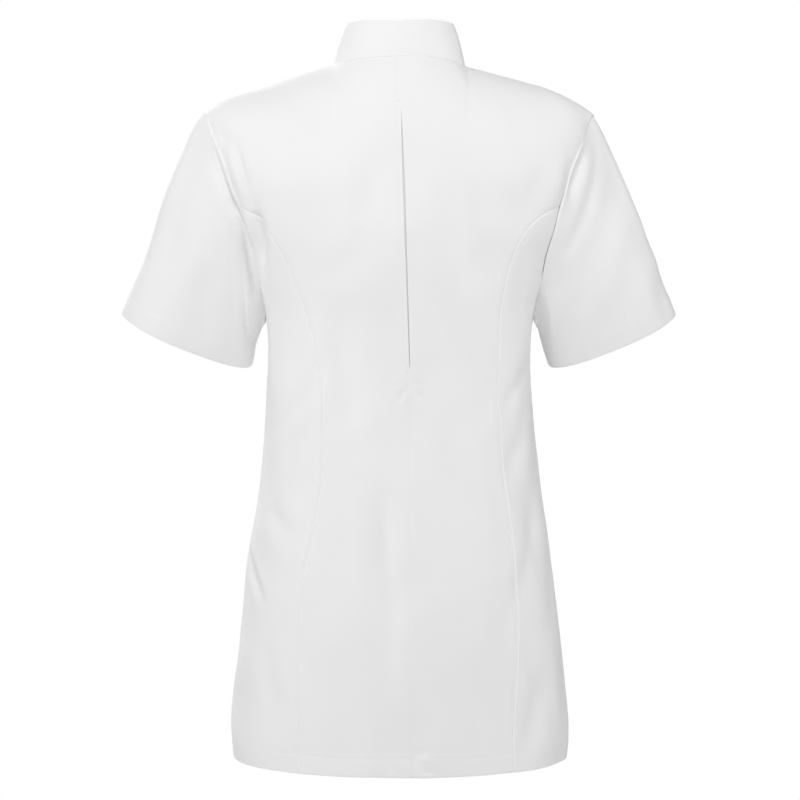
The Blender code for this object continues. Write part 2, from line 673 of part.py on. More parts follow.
def build_collar(collection, cloth):
    """A stand that leans in, with its two upper front corners rounded to a quarter circle."""
    sides = []
    for side in (1, -1):
        base = collar_base(side)
        length = arc_length(base)
        corner = COLLAR_CORNER * (1 - np.cos(np.linspace(0, pi / 2, COLLAR_CORNER_STEPS)[::-1]))
        ends = length[-1] - COLLAR_END - corner
        at = np.concatenate([length[length < ends[0]], ends])
        line = np.stack([np.interp(at, length, base[:, k]) for k in range(3)], axis=-1)
        share = at / at[-1]
        height = smooth(share, *np.array(COLLAR_HEIGHT).T)
        lean = np.radians(smooth(share, *np.array(COLLAR_LEAN).T))
        inside = np.clip(COLLAR_CORNER - (at[-1] - at), 0, COLLAR_CORNER)
        height = height - COLLAR_CORNER + np.sqrt(COLLAR_CORNER ** 2 - inside ** 2)
        inward = unit((COLLAR_CENTRE - line) * np.array([1.0, 1.0, 0.0]))
        up = np.array([0.0, 0.0, 1.0]) * np.cos(lean)[:, None] + inward * np.sin(lean)[:, None]
        rows = np.linspace(0, 1, COLLAR_ROWS + 1)[:, None, None]
        sides.append(line + rows * up * height[:, None])
    left, right = sides
    points = np.concatenate([right[:, ::-1], left[:, 1:]], axis=1)
    sheet("collar", turned_out(points, points * np.array([1.0, 1.0, 0.0]))[0], collection, cloth)


def build_band(collection, cloth):
    grid = band_lines()
    points, normals = panel_points(grid, False)
    points = draw_in(points, normals, {"top": GAP, "left": GAP}) + normals * (WALL + BAND_GAP)
    sheet("button_band", turned_out(points, normals)[0], collection, cloth)


def build_underlay(collection, cloth):
    """The cloth of the pleat that shows in its slit, just inside the two back panels."""
    left = back_grid(1)[:, 0]
    rows = left[(left[:, 1] > UNDERLAY_LOW) & (left[:, 1] < UNDERLAY_HIGH)]
    x = np.linspace(-UNDERLAY_HALF, UNDERLAY_HALF, UNDERLAY_COLUMNS)
    depth = section(rows[:, 1], "back")[:, None]
    turn = rows[:, :1] + np.arctan2(x[None, :], depth)
    grid = np.stack([turn, np.broadcast_to(rows[:, 1:], turn.shape)], axis=-1)
    points, normals = panel_points(grid, True)
    points = points - normals * (WALL + UNDERLAY_GAP)
    sheet("pleat_underlay", turned_out(points, normals)[0], collection, cloth)


def build_buttons(collection, finish):
    for number in range(BUTTON_COUNT):
        height = BUTTON_TOP - number * BUTTON_STEP
        turn, climb = place(0.0, height, back=False)[:, None]
        normal = form_normals(turn, climb)[0]
        lift = WALL + BAND_GAP + BUTTON_SEAT + BUTTON_THICK / 2
        centre = form(turn, climb)[0] + normal * lift
        mesh = bpy.data.meshes.new(f"button_{number + 1}")
        solid = bmesh.new()
        bmesh.ops.create_cone(solid, cap_ends=True, segments=BUTTON_SIDES, radius1=BUTTON_RADIUS,
                              radius2=BUTTON_RADIUS, depth=BUTTON_THICK)
        solid.to_mesh(mesh)
        solid.free()
        made = new_object(mesh.name, mesh, collection, finish)
        made.location = centre.tolist()
        made.rotation_euler = (np.arctan2(-normal[1], normal[2]), 0.0, 0.0)
        bevel = made.modifiers.new("rim", "BEVEL")
        bevel.width = BUTTON_THICK / 4
        bevel.segments = 1


def main():
    for old in list(bpy.data.objects):
        bpy.data.objects.remove(old)
    collection = bpy.data.collections.new("medical_tunic")
    bpy.context.scene.collection.children.link(collection)
    cloth = material("white_cloth", WHITE_CLOTH)
    plastic = material("white_button", WHITE_BUTTON)
    build_panels(collection, cloth)
    build_sleeves(collection, cloth)
    build_collar(collection, cloth)
    build_band(collection, cloth)
    build_underlay(collection, cloth)
    build_buttons(collection, plastic)


main()
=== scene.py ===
"""Medical tunic: cloth, seams, stitching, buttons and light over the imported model.

Each piece of cloth is a thin shell on the form of its solid. The form is a function of two numbers, the
turn round the body (0 at the centre back, positive to the wearer's left) and the climb up it. Creases,
seams and hems are pressed into it, each from its own real size. Metres, but the tables of seams, sections
and folds are in millimetres. +Z up, the wearer faces -Y.
"""
from functools import partial
from math import cos, pi, radians, sin

import bpy
import numpy as np
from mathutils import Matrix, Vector


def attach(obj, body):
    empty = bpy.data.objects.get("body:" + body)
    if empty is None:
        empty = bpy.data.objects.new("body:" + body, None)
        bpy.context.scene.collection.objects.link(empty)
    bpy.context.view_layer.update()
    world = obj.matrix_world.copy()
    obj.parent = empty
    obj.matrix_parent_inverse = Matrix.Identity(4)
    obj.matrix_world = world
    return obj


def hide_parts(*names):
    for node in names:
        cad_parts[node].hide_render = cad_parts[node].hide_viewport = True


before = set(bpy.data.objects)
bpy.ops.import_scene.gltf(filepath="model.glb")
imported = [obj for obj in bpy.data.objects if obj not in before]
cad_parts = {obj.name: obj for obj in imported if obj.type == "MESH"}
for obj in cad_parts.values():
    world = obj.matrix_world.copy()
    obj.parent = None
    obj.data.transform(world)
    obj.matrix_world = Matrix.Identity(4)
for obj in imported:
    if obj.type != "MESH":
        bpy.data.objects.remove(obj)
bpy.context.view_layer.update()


def millimetres(*rows):
    """A table of millimetres, in metres."""
    return np.array(rows) / 1000


# ---- the form, with the sizes of the solids ----
HEM = -0.691
NECK = 0.067
SHOULDER = 0.195
SHOULDER_FALL = 0.333
RIDGE_ROUND = 0.020
NAPE_RISE = 0.0165
NECK_LEVEL = 0.001
TIP_START = 0.165
TIP_BEND = 9.3
ROLL_MIDDLE = 0.120
ROLL_TIP = 0.075
SECTION_COLUMNS = ("height", "half_width", "back", "front", "square")
SECTIONS = (
    (-691, 169, 133, 115, 2.1),
    (-674, 170, 132, 115, 2.1),
    (-620, 165.5, 129, 113, 2.1),
    (-550, 158, 125, 111, 2.1),
    (-480, 149.5, 115, 110, 2.15),
    (-414, 139, 104, 110, 2.2),
    (-354, 133.5, 95, 108, 2.2),
    (-304, 132, 91, 111, 2.2),
    (-264, 133.5, 91, 120, 2.25),
    (-246, 136, 92, 124, 2.25),
    (-221, 143, 94, 127, 2.3),
    (-192, 152.5, 96, 126, 2.35),
    (-167, 164, 97, 121, 2.4),
    (-141, 173.5, 96, 113, 2.4),
    (-122, 182, 95, 106, 2.4),
    (-86, 189, 91, 91, 2.4),
    (-40, 198, 88, 81, 2.4),
    (30, 208, 86, 75, 2.4),
    (100, 215, 85, 72, 2.4),
)
CENTRE_BACK = millimetres(
    # height, x
    (-691, -13.4), (-647, -13.4), (-482, -12.5), (-351, -11.6), (-301, -9.7), (-213, -6.8),
    (-126, -3.9), (-40, -1), (6, 0),
)
PLEAT_SLIT = millimetres(
    # height, opening of the centre back seam
    (-301, 0), (-294, 1), (-213, 1.5), (-126, 2.2), (-52, 0.6), (-40, 0),
)
PLEAT_TOP_HEIGHTS = (-0.050, -0.036)    # above these the seam hardly shows
PLEAT_STITCHED = 0.53   # share of the centre back seam that is topstitched, from the hem up
BACK_PRINCESS_LEFT = millimetres(
    (-691, 99.2), (-617, 98.2), (-570, 97.4), (-532, 95.6), (-484, 89.9), (-445, 82.2), (-397, 75.6),
    (-359, 74.8), (-315, 74.9), (-291, 79.8), (-262, 87.7), (-233, 97.5), (-198, 111.2),
    (-167.5, 127.8), (-151, 140.8),
)
BACK_PRINCESS_RIGHT = millimetres(
    (-691, -110), (-662, -110), (-600, -114.1), (-562, -115.3), (-524, -114.5), (-495, -111.7),
    (-437, -106.1), (-384, -100.4), (-330, -94.7), (-277, -95.7), (-243, -97.6), (-218, -102.4),
    (-196, -108.1), (-174, -116.9), (-157, -128.7), (-147, -141.8),
)
FRONT_PRINCESS = millimetres(
    (-691, 102), (-560, 94), (-440, 82), (-350, 74), (-280, 79), (-225, 90), (-180, 109), (-150, 131),
)
SIDE_SEAM_TURN = (
    # height, turn in degrees
    (-0.691, 81.0), (-0.560, 82.0), (-0.420, 84.0), (-0.320, 87.0), (-0.252, 90.0),
)
ARMHOLE = millimetres(
    # height, x on the back, x on the front
    (-72, 182.1, 180), (-87, 175.6, 172.5), (-105, 169.5, 165.5), (-122, 164.1, 160),
    (-141, 156.1, 153), (-167, 149.4, 146.5), (-192, 142.9, 141.5), (-221, 139.7, 139),
    (-241, 136.8, 136.8),
)
PRINCESS_TOP = 4        # row of the armhole's table where the princess seams start
UNDERARM = -0.252
NECKLINE_BACK = millimetres(
    # height, x
    (5.5, 0), (5, 20), (4, 37), (2.5, 51), (0.5, 61.5),
)
NECKLINE_FRONT = millimetres(
    (-75, 0), (-73.5, 16), (-63.5, 32), (-47, 46), (-23.5, 59),
)
TURN_METRIC = np.array([0.12, 1.0])     # metres of cloth to a radian of turn, and to a metre of climb
TOP_METRIC = np.array([0.12, 0.10])     # the same along the top edge of the back
NARROWEST = 0.030       # width from which a panel's columns are spaced
TOP_FADE = 8            # power of the climb with which the bends of a panel's top edge fade below it
BAND_HALF = 0.016
UNDERLAP = 0.0145
UNDER_BAND = 0.0010     # how far the right front reaches under its band
MIDDLE = 1e-6           # x of the front's middle, just off the line where turns jump
UP = (0.0, 0.0, 1.0)
SIDEWAYS = (1.0, 0.0, 0.0)

# ---- cloth, seams and stitching ----
CLOTH = 0.0005          # one layer, with its finish
ALLOWANCE = 0.010       # width of the layers turned inside along a seam
EXTRA = 0.0006          # thickness that they add
EDGE_REACH = 0.35       # how far a cut edge rounds out, as a share of the thickness
FORM_SHARE = 0.6        # weight of the smooth form's direction in that of a panel's thickness
SEAM_DEPTH = 0.0008     # how deep a seam lies between its two rounded edges
SEAM_WIDTH = 0.0010
SOFT = 0.0006           # soft edge of a layer that lies inside
PLEAT_SEAM = (0.2, 0.1)     # share of a seam's depth along the slit, and above it
SLIT_REACH = 0.012      # width over which the slit's edge is drawn aside
NECK_SEAM_DEPTH = 0.0002
# Depth of the armhole seam on the back by height: the left sleeve falls over its seam at the top and below.
SLEEVE_SEAM_LEFT = millimetres(
    (-260, 0.2), (-190, 0.2), (-165, 1), (-130, 0.8), (-110, 0.1), (-60, 0.1),
)
SLEEVE_SEAM_RIGHT = millimetres(
    (-260, 0.4), (-170, 0.3), (-60, 0.1),
)
SLEEVE_SEAM_FRONT = 0.0007
SLEEVE_STEPS = np.array([0.00003, 0.00012, 0.0007, 0.0013, 0.0020, 0.0027, 0.0033, 0.0039, 0.0046, 0.0053,
                         0.0060, 0.0067, 0.0074, 0.0081, 0.0089, 0.0098, 0.0109, 0.0124, 0.0143])
SEAM_FADE = 0.012       # share of the sleeve's length over which its folds grow from the seam
TOPSTITCH = 0.0030      # from the seam to its row of topstitching
HEM_TURN = 0.020
HEM_STITCH = 0.0185
# Shares of an edge between which its row of stitches runs.
HEM_ROW = (0.004, 0.996)
SIDE_ROW = (0.0, 0.99)
COLLAR_ROW = (0.02, 0.98)
BAND_ROW = (0.003, 0.997)
PRINCESS_CLEAR = 0.003  # the same, left free below the armhole
STITCH = 0.0021         # length of one stitch
STITCH_PITCH = 0.0028
THREAD = 0.00020        # radius
HEM_LAYER = 0.00030     # how far the hem's double layer stands out
HEM_SOFT = 0.0004
# Dents along seams, edges and rows of stitches: distance from the seam or edge, depth and width.
SEAM_DENT = (TOPSTITCH, 0.00022, 0.0008)
HEM_EDGE = (0.0, 0.0003, 0.0007)
HEM_DENT = (0.0003, 0.0009)     # its distance goes with the hem
COLLAR_EDGE = (0.0, 0.0005, 0.0007)
COLLAR_DENT = (0.0020, 0.00018, 0.0007)
BAND_EDGE = (0.0, 0.0005, 0.0008)
BAND_DENT = (0.0025, 0.0002, 0.0008)
# Puckers along a seam: height, pitch, how far the pitch wanders and over what length.
SEAM_PUCKERS = ((0.00012, 0.0140, 1.4, 0.081), (0.000084, 0.0087, 2.0, 0.057))
HEM_PUCKER = (0.00014, 0.0170, 1.3, 0.093)
BAND_PUCKER = (0.00012, 0.0160, 1.2, 0.083)
PUCKER_REACH = 0.006
SLEEVE_PUCKER = 0.7     # share of them along the underarm seam
COLLAR_PUCKER = 0.8     # and along the collar's foot
SUNK = 0.4              # how far a stitch is drawn into the cloth, as a share of its radius
TACK_HALF = 0.0065      # half the width of the bar tack across each end of the pleat's slit
TACK_TALL = 0.0015
TACK_STITCHES = 36
WEAVE_PITCH = 0.0011    # between threads: the real 0.00035 is too fine for the picture
WEAVE_DEPTH = 0.00010
TWIST_PITCH = 0.0006
# Spacing of the grid's first rows from an edge, from the armhole and from the hem.
EDGE_STEPS = np.array([0.00003, 0.00012, 0.0007, 0.0013, 0.0020, 0.0027, 0.0033, 0.0042, 0.0056, 0.0080])
HEM_STEPS = np.array([0.0160, 0.0174, 0.0180, 0.0185, 0.0190, 0.0197, 0.0210])
HEM_EDGE_STEPS = np.concatenate([EDGE_STEPS[:-1], HEM_STEPS])
SQUARE = 0.0032         # usual spacing of the grid
EDGE_POINTS = 600       # of an edge's even line

# Slow waves of the cloth: length, slant, phase and height, and the two that bend them: length and size.
WAVES = (
    (0.150, 0.30, 1.0, 0.00100), (0.094, -0.50, 2.2, 0.00070), (0.170, -0.90, 0.3, 0.00080),
    (0.061, 0.50, 4.1, 0.00038), (0.047, -0.30, 5.0, 0.00028), (0.033, 0.20, 2.9, 0.00015),
)
BENDS = ((0.170, 0.006), (0.130, 0.005))
# A fold's reach, its depth through the cloth, its ridges' place and width, all in half widths.
FOLD_REACH = 4
FOLD_THROUGH = 1.5
RIDGE_AT = 1.9
RIDGE_WIDTH = 1.1
FOLD_END = 0.04         # share of its length over which a fold's end keeps one depth
FOLD_TAPER = 0.7        # power of the sine with which it fades towards its ends
FOLD_STEP = 0.05        # share of it over which its direction is taken
FACING = 0.05           # how far a sleeve's direction turns to the back or the front where a fold can lie
LINE_ROUNDS = 8         # evens out a fold's line on a sleeve
# Folds, in millimetres: x and height of one end and of the other, sideways bow in the middle, half width
# of the trough and its depth. Then the ridges on its left and right, as shares of that depth.
BACK_FOLDS = (
    # at the left armhole
    (162, -78, 146.4, -130, 1, 4.2, 3, 0.2, 0.4),
    (140.5, -142, 137.5, -204, -1, 7, 8.5, 0.1, 0.2),
    (145.5, -149, 130, -158, -1, 2, 1, 0.1, 0.5),
    (176, -66, 166, -82, 1, 6, 1.6, 0.3, 0.3),
    # at the left of the waist and hip
    (149, -484, 134, -528, 2, 5.5, 3.4, 0.4, 0.2),
    (128, -430, 104, -464, 4, 10, 2.2, 0.4, 0.2),
    (128, -366, 80, -300, 4, 11, 2.4, 0.2, 0.2),
    (118, -398, 88, -360, -4, 9, 1.6, 0.2, 0.2),
    (131, -560, 118, -640, 3, 12, 1.8, 0.3, 0.2),
    # at the right of the waist
    (-128, -300, -100, -345, 3, 8.5, 1.6, 0.3, 0.2),
    (-126, -365, -104, -420, 4, 10, 1.5, 0.2, 0.3),
    (-134, -425, -118, -520, -3, 11, 1.6, 0.2, 0.2),
    (-145, -600, -128, -680, 4, 13, 2.2, 0.2, 0.2),
    # down the middle of the back
    (16, -400, 10, -600, 3, 12, 3.4, 0.2, 0.4),
    (-34, -360, -48, -560, -4, 16, 2.8, 0.3, 0.3),
    (58, -220, 40, -400, 5, 15, 3.4, 0.2, 0.4),
    (24, -90, 44, -160, -6, 15, 2, 0.2, 0.2),
    (-60, -110, -86, -240, 6, 18, 3.2, 0.2, 0.3),
    # below the pleat, where it is stitched shut
    (-6, -312.5, 6, -317, 1, 2.2, 1.2, 0.5, 0.5),
    (-22, -314, -13, -311, -1, 2.2, 1.2, 0.5, 0.5),
    (-10, -315, 4, -334, 2, 3.2, 1.3, 0.4, 0.4),
    (-14, -316, -21, -330, -1, 3, 1, 0.4, 0.4),
    # at the seams
    (83, -492, 99, -497, 1, 3.5, 0.7, 0.4, 0.4),
    (-16, -676, -34, -686, 2, 4, 1.6, 0.5, 0.5),
    (-14, -668, -26, -664, 1, 4, 1.2, 0.4, 0.4),
    # under the two ends of the collar
    (66, -4, 66, -55, 1, 3.5, 0.4, 0.3, 0.3),
    (-68, -4, -68, -55, -1, 3.5, 0.6, 0.3, 0.3),
    # at the right armhole
    (-176, -88, -156, -150, 2, 8, 2, 0.3, 0.3),
    (-150, -100, -128, -142, 4, 12, 2, 0.3, 0.2),
)
FRONT_FOLDS = (
    (150, -115, 112, -176, 4, 9, 3.5, 0.3, 0.3),
    (146, -158, 124, -200, 3, 8, 4.3, 0.3, 0.3),
    (-152, -120, -118, -180, -4, 9, 3.7, 0.3, 0.3),
    (-146, -164, -126, -204, -3, 8, 4, 0.3, 0.3),
    (126, -330, 74, -290, 5, 11, 2.7, 0.2, 0.3),
    (124, -390, 86, -352, 4, 10, 2.2, 0.2, 0.2),
    (-126, -322, -70, -300, -4, 11, 2.7, 0.2, 0.3),
    (-122, -380, -80, -345, -4, 10, 2.5, 0.2, 0.2),
    (50, -240, 44, -420, 5, 18, 2.2, 0.3, 0.2),
    (-52, -250, -46, -450, -5, 18, 2.2, 0.2, 0.3),
    (66, -470, 78, -660, 6, 20, 3.2, 0.3, 0.3),
    (-60, -450, -70, -650, -6, 19, 3, 0.3, 0.3),
    (18, -118, 40, -150, 3, 7, 1.5, 0.3, 0.3),
    (-18, -212, -36, -246, -3, 7, 1.5, 0.3, 0.3),
    (120, -60, 80, -120, 6, 16, 2.5, 0.2, 0.2),
    (-118, -60, -84, -126, -6, 16, 2.5, 0.2, 0.2),
)

# Sleeves.
CUFF_CENTRE = (0.2145, -0.034, -0.2735)
CUFF_WIDE = 0.0695
CUFF_DEEP = 0.0490
ARM_OUT = 22.4          # degrees
ARM_FORWARD = 11.0
INNER_SQUARE = 2.45     # the cuff lies flatter on the inner side of its back
SLEEVE_START = 0.45     # how strongly the sleeve's lines keep the body's direction, and the arm's
SLEEVE_END = 0.75
LOOP_STEP = 6           # of the armhole's points, one in so many is on the sleeve's edge
ONWARD_ROUNDS = 160     # evens out the directions in which the sleeve leaves the armhole's two corners
SLEEVE_HEM = 0.022
SLEEVE_LENGTH = 0.19    # about that of its lines, for the spacing of its rows
SLEEVE_SQUARE = 0.0025
UNDERARM_LENGTH = 0.12  # of its seam, for the pitch of its puckers
BODY_SHARE = 2          # weight of the body's direction in that of the sleeve's thickness at the armhole
SLEEVE_BACK_FOLDS = (
    # left
    (181.5, -87.5, 144.5, -181, 2.5, 1.6, 4.2, 0, 0),
    (185, -87.5, 147.5, -181, 2.5, 6, 2.8, 0, 0),
    (162, -145, 145, -285, 0, 8, 12.5, 0, 0),
    (210, -135, 233, -215, 4, 12, 1.2, 0.3, 0.3),
    (186, -190, 196, -290, 4, 13, 1.4, 0.3, 0.3),
    # right
    (-185, -82, -167, -132, 0, 5.5, 2.8, 0, 0.6),
    (-196, -90, -159, -196, -8, 7.5, 2.6, 0, 0.5),
    (-212, -96, -190, -200, -4, 18, 1.8, 0, 0),
    (-153, -215, -152, -290, 0, 8, -2.6, 0, 0),
    (-198, -165, -174, -255, -4, 10, 1.6, 0.3, 0.3),
    (-236, -170, -216, -260, -4, 12, 1.4, 0.3, 0.3),
)
SLEEVE_FRONT_FOLDS = (
    (178, -90, 160, -130, 1, 5, 3, 0.3, 0.4),
    (186, -125, 154, -200, 6, 8, 3.2, 0.3, 0.3),
    (150, -190, 150, -280, 1, 7, 6, 0.2, 0.2),
    (206, -170, 190, -265, 4, 12, 1.4, 0.3, 0.3),
    (-180, -86, -164, -132, -1, 5, 2.8, 0.3, 0.4),
    (-184, -130, -152, -206, -6, 8, 3.4, 0.3, 0.3),
    (-148, -195, -149, -280, -1, 7, 6, 0.2, 0.2),
    (-212, -160, -194, -260, -4, 12, 1.4, 0.3, 0.3),
)

# Collar.
COLLAR_HEIGHT = ((0.0, 0.0352), (0.35, 0.0420), (0.60, 0.0400), (1.0, 0.0340))
COLLAR_LEAN = ((0.0, 10.0), (0.35, 17.5), (0.60, 18.5), (1.0, 17.0))
COLLAR_END = 0.001
COLLAR_CORNER = 0.013
COLLAR_THICK = 0.0013
COLLAR_GAP = 0.0002
COLLAR_TALL = 0.038
COLLAR_SQUARE = 0.0022
COLLAR_POINTS = (110, 14)   # along each half, and round its front corner
COLLAR_BULGE = 0.0009
COLLAR_DRIFT = 0.6      # share of the body's unevenness at its top edge
NECK_MIDDLE = (0.0, -0.012, 0.0)    # the collar leans towards the line up from here

# Band and buttons.
BAND_LIFT = 0.0016      # outer face of the band over the fronts
BAND_THICK = 0.0010
BAND_LENGTH = 0.62
BAND_SQUARE = 0.002
BUTTON_COUNT = 6
BUTTON_TOP = -0.098
BUTTON_STEP = 0.094
BUTTON_RADIUS = 0.0085
BUTTON_THICK = 0.0030
BUTTON_LIFT = 0.0006    # on its thread shank, over the band
BUTTON_HOLE = 0.0010    # radius of each of its four holes
BUTTON_HOLE_AT = 0.0021
BUTTON_RIM = 0.0012     # radius of its rounded rim
DISH_RADIUS = 0.0058
DISH_DEPTH = 0.00055
DISH_SOFT = 0.00025
HOLE_DEPTH = 0.0021
HOLE_SOFT = 0.00012
BUTTON_BACK = ((0.0084, 0.0008), (0.0075, 0.0), (0.0040, 0.0), (0.0004, 0.0))     # radius, height
TIE_APART = 0.00022     # half the distance between two threads side by side
TIE_LIFT = 0.0002       # where they cross the other two
BUTTONHOLE = 0.0105     # half its length
HOLE_HALF = 0.0009      # and half the distance between its two rows of stitches
# Threads: length, radius and how far their middle stands up, as a share of the radius.
TIE_THREAD = (0.0054, 0.00026, 0.6)
HOLE_THREAD = (0.0019, 0.00024, 0.5)
HOLE_STITCHES = 44
BAR_STEP = 0.0004       # between the three stitches of the bar at each of its ends
ROW_LIFT = 0.00005      # how far the middles of these stitches lie over the band
BAR_LIFT = 0.00012

# Cloth of the pleat, and how far it lies inside the back.
UNDERLAY_HALF = 0.020
UNDERLAY_BEHIND = 0.0021
UNDERLAY_SPAN = (-0.335, 0.0165)    # its lowest and highest climb
UNDERLAY_POINTS = (17, 110)

# Floor, light and camera.
FLOOR = -1.42           # where the wearer would stand
FLOOR_RADIUS = 1.9
ROOM_LIGHT = 0.30
LIGHTS = (
    # name, place, size in metres, power in watts
    ("soft_box_high", (0.0, 1.25, 1.05), 0.9, 11.0),
    ("soft_box_right", (-2.2, 0.4, 0.15), 1.0, 9.6),
    ("soft_box_left", (2.2, 0.4, 0.15), 1.0, 13.0),
    ("soft_box_by_camera", (0.0, 2.6, 0.15), 0.8, 14.5),
    ("soft_box_front", (1.0, -1.9, 0.8), 1.0, 30.0),
)
LIT = (0.0, 0.0, -0.33)
CAMERA = (0.0, 2.87, -0.187)
LENS = 129.15
PITCH = 2.93            # degrees down


# ---- form ----
def smooth(at, stations, values):
    """Curve through the values at the stations, each slope being that of its two neighbours."""
    slopes = np.gradient(values, stations)
    low = np.clip(np.searchsorted(stations, at) - 1, 0, len(stations) - 2)
    span = stations[low + 1] - stations[low]
    s = np.clip((at - stations[low]) / span, 0.0, 1.0)
    leave = s * (1 - s) ** 2 * span * slopes[low]
    arrive = s * s * (s - 1) * span * slopes[low + 1]
    return values[low] + s * s * (3 - 2 * s) * (values[low + 1] - values[low]) + leave + arrive


SECTION = dict(zip(SECTION_COLUMNS, (np.array(SECTIONS) / (1000, 1000, 1000, 1000, 1)).T))


def section(climb, name):
    """A measure of the level section at a climb."""
    return smooth(climb, SECTION["height"], SECTION[name])


def depth_at(x, climb, back):
    """Depth of the level section at this x, on the back or the front."""
    share = np.clip(np.abs(x) / section(climb, "half_width"), 0, 1)
    square = section(climb, "square")
    return section(climb, "back" if back else "front") * (1 - share ** square) ** (1 / square)


def ridge(x):
    """Height of the shoulder line: a straight fall, a dome inside the neck and a bend at the tip."""
    fall = NECK_LEVEL + SHOULDER_FALL * (np.hypot(NECK, RIDGE_ROUND) - np.hypot(x, RIDGE_ROUND))
    dome = NAPE_RISE * np.clip(1 - (x / NECK) ** 2, 0, None)
    return fall + dome - TIP_BEND * np.clip(np.abs(x) - TIP_START, 0, None) ** 2


def roll_height(x):
    """Height over which the body bends onto the shoulder line."""
    return ROLL_MIDDLE - (ROLL_MIDDLE - ROLL_TIP) * (x / SHOULDER) ** 2


def form(grid):
    """A level section is a squared oval of the turn. Above the spring line, a roll height under the
    shoulder line, the climb bends over a quarter circle onto that line."""
    turn, climb = np.moveaxis(grid, -1, 0)
    depth = np.where(np.cos(turn) > 0, section(climb, "back"), section(climb, "front"))
    square = section(climb, "square")
    wide = np.abs(np.sin(turn)) / section(climb, "half_width")
    reach = (wide ** square + (np.abs(np.cos(turn)) / depth) ** square) ** (-1 / square)
    x = reach * np.sin(turn)
    roll = roll_height(x)
    spring = ridge(x) - roll
    over = np.clip((climb - spring) / roll, 0, pi / 2)
    y = reach * np.cos(turn) * np.cos(over)
    z = np.minimum(climb, spring) + roll * np.sin(over)
    return np.stack([x, y, z], axis=-1)


def inside(distance, width, soft):
    """1 within a width and 0 beyond it, over a soft edge."""
    return 0.5 - 0.5 * np.tanh((distance - width) / (2 * soft))


def unit(vectors):
    """The same directions at a length of 1."""
    return vectors / np.maximum(np.linalg.norm(vectors, axis=-1, keepdims=True), 1e-12)


def surface(grid):
    """Points of the form, and its outward directions from small steps round and up it."""
    step = 1e-4
    round_body = form(grid + (step, 0)) - form(grid - (step, 0))
    up_body = form(grid + (0, step)) - form(grid - (0, step))
    return form(grid), unit(np.cross(up_body, round_body))


def place(x, height, back=True):
    """Turn and climb of the point of the form at this x and height, on the back or the front."""
    x, height = np.asarray(x, dtype=float), np.asarray(height, dtype=float)
    roll = roll_height(x)
    spring = ridge(x) - roll
    over = np.arcsin(np.clip((height - spring) / roll, -1, 1))
    climb = np.where(height > spring, spring + roll * over, height)
    depth = depth_at(x, climb, back)
    return np.stack([np.arctan2(x, depth if back else -depth), climb], axis=-1)


def shoulder_line(x, back=True):
    """Points of the shoulder line at these x."""
    x = np.asarray(x, dtype=float)
    return place(x, ridge(x), back)


def unwrap(line, side):
    """The same line with its turns between 0 and a whole turn, counted on this side of the body."""
    line = line.copy()
    line[..., 0] = side * np.mod(line[..., 0] * side, 2 * pi)
    return line


def arc(points, axis=0, metric=1.0):
    """Length run from the start of a line, or along the columns or rows of a grid."""
    steps = np.diff(points, axis=axis, prepend=np.take(points, [0], axis)) * metric
    return np.cumsum(np.linalg.norm(steps, axis=-1), axis=axis)


def sample(at, stations, line):
    """A line's points at places between its stations."""
    return np.stack([np.interp(at, stations, column) for column in line.T], axis=-1)


def body_length(line):
    """Length on the body of a line of turns and climbs."""
    return arc(form(line))[-1]


# ---- seams, each a list of (turn, climb) ----
FINE = 500              # points of a seam's smooth curve


def through(points, count=FINE):
    """Evenly spaced points of the smooth curve through the given ones."""
    stations = arc(points, metric=TURN_METRIC)
    at = np.linspace(0, stations[-1], count)
    return np.stack([smooth(at, stations, column) for column in np.array(points).T], axis=-1)


def armhole(side, back):
    """The upper half, from the tip of the shoulder to the princess seam, and the lower half."""
    heights, *xs = ARMHOLE.T
    seam = place(xs[0 if back else 1] * side, heights, back)
    points = [shoulder_line(SHOULDER * side, back), *seam, [side * pi / 2, UNDERARM]]
    line = through(points, 2 * FINE)
    run = arc(points, metric=TURN_METRIC)
    split = round((2 * FINE - 1) * run[PRINCESS_TOP + 1] / run[-1])
    return line[:split + 1], line[split:]


def princess(side, back):
    """From the hem up to the armhole."""
    table = (BACK_PRINCESS_LEFT if side > 0 else BACK_PRINCESS_RIGHT) if back else FRONT_PRINCESS
    heights, xs = table.T
    xs = xs if back else xs * side
    return through([*place(xs, heights, back), armhole(side, back)[1][0]])


def side_seam(side):
    """From the hem up to the underarm."""
    heights, turns = np.array(SIDE_SEAM_TURN).T
    climb = np.linspace(HEM, UNDERARM, FINE)
    return np.stack([side * np.radians(smooth(climb, heights, turns)), climb], axis=-1)


def neckline(side, back):
    """To the side of the neck, from the centre back or from the inner edge of the front."""
    heights, xs = (NECKLINE_BACK if back else NECKLINE_FRONT).T
    if not back and side > 0:
        heights, xs = np.append(heights[1], heights), np.append(-UNDERLAP, xs)
    if not back and side < 0:
        heights, xs = heights[1:], xs[1:]
    points = np.concatenate([place(xs * side, heights, back), shoulder_line([NECK * side], back)])
    return through(unwrap(points, side))


def shoulder(side, back):
    """From the side of the neck to the tip of the shoulder."""
    return shoulder_line(side * np.linspace(NECK, SHOULDER, FINE), back)


def centre_back():
    """The centre back seam, from the hem to the neckline."""
    heights, xs = CENTRE_BACK.T
    climb = np.linspace(HEM, place(0.0, NECKLINE_BACK[0][0])[1], FINE)
    return np.stack([np.arctan2(smooth(climb, heights, xs), section(climb, "back")), climb], axis=-1)


def front_edge(x, top_height):
    """A line up the front at one distance from the middle, from the hem to the neckline."""
    climb = np.linspace(HEM, place(x, top_height, back=False)[1], FINE)
    return np.stack([np.arctan2(x, -depth_at(x, climb, False)), climb], axis=-1)


def joined(*lines, metric=TURN_METRIC):
    """Lines end to end as one, with evenly spaced points."""
    line = np.concatenate([lines[0]] + [more[1:] for more in lines[1:]])
    stations = arc(line, metric=metric)
    return sample(np.linspace(0, stations[-1], 2 * FINE), stations, line)


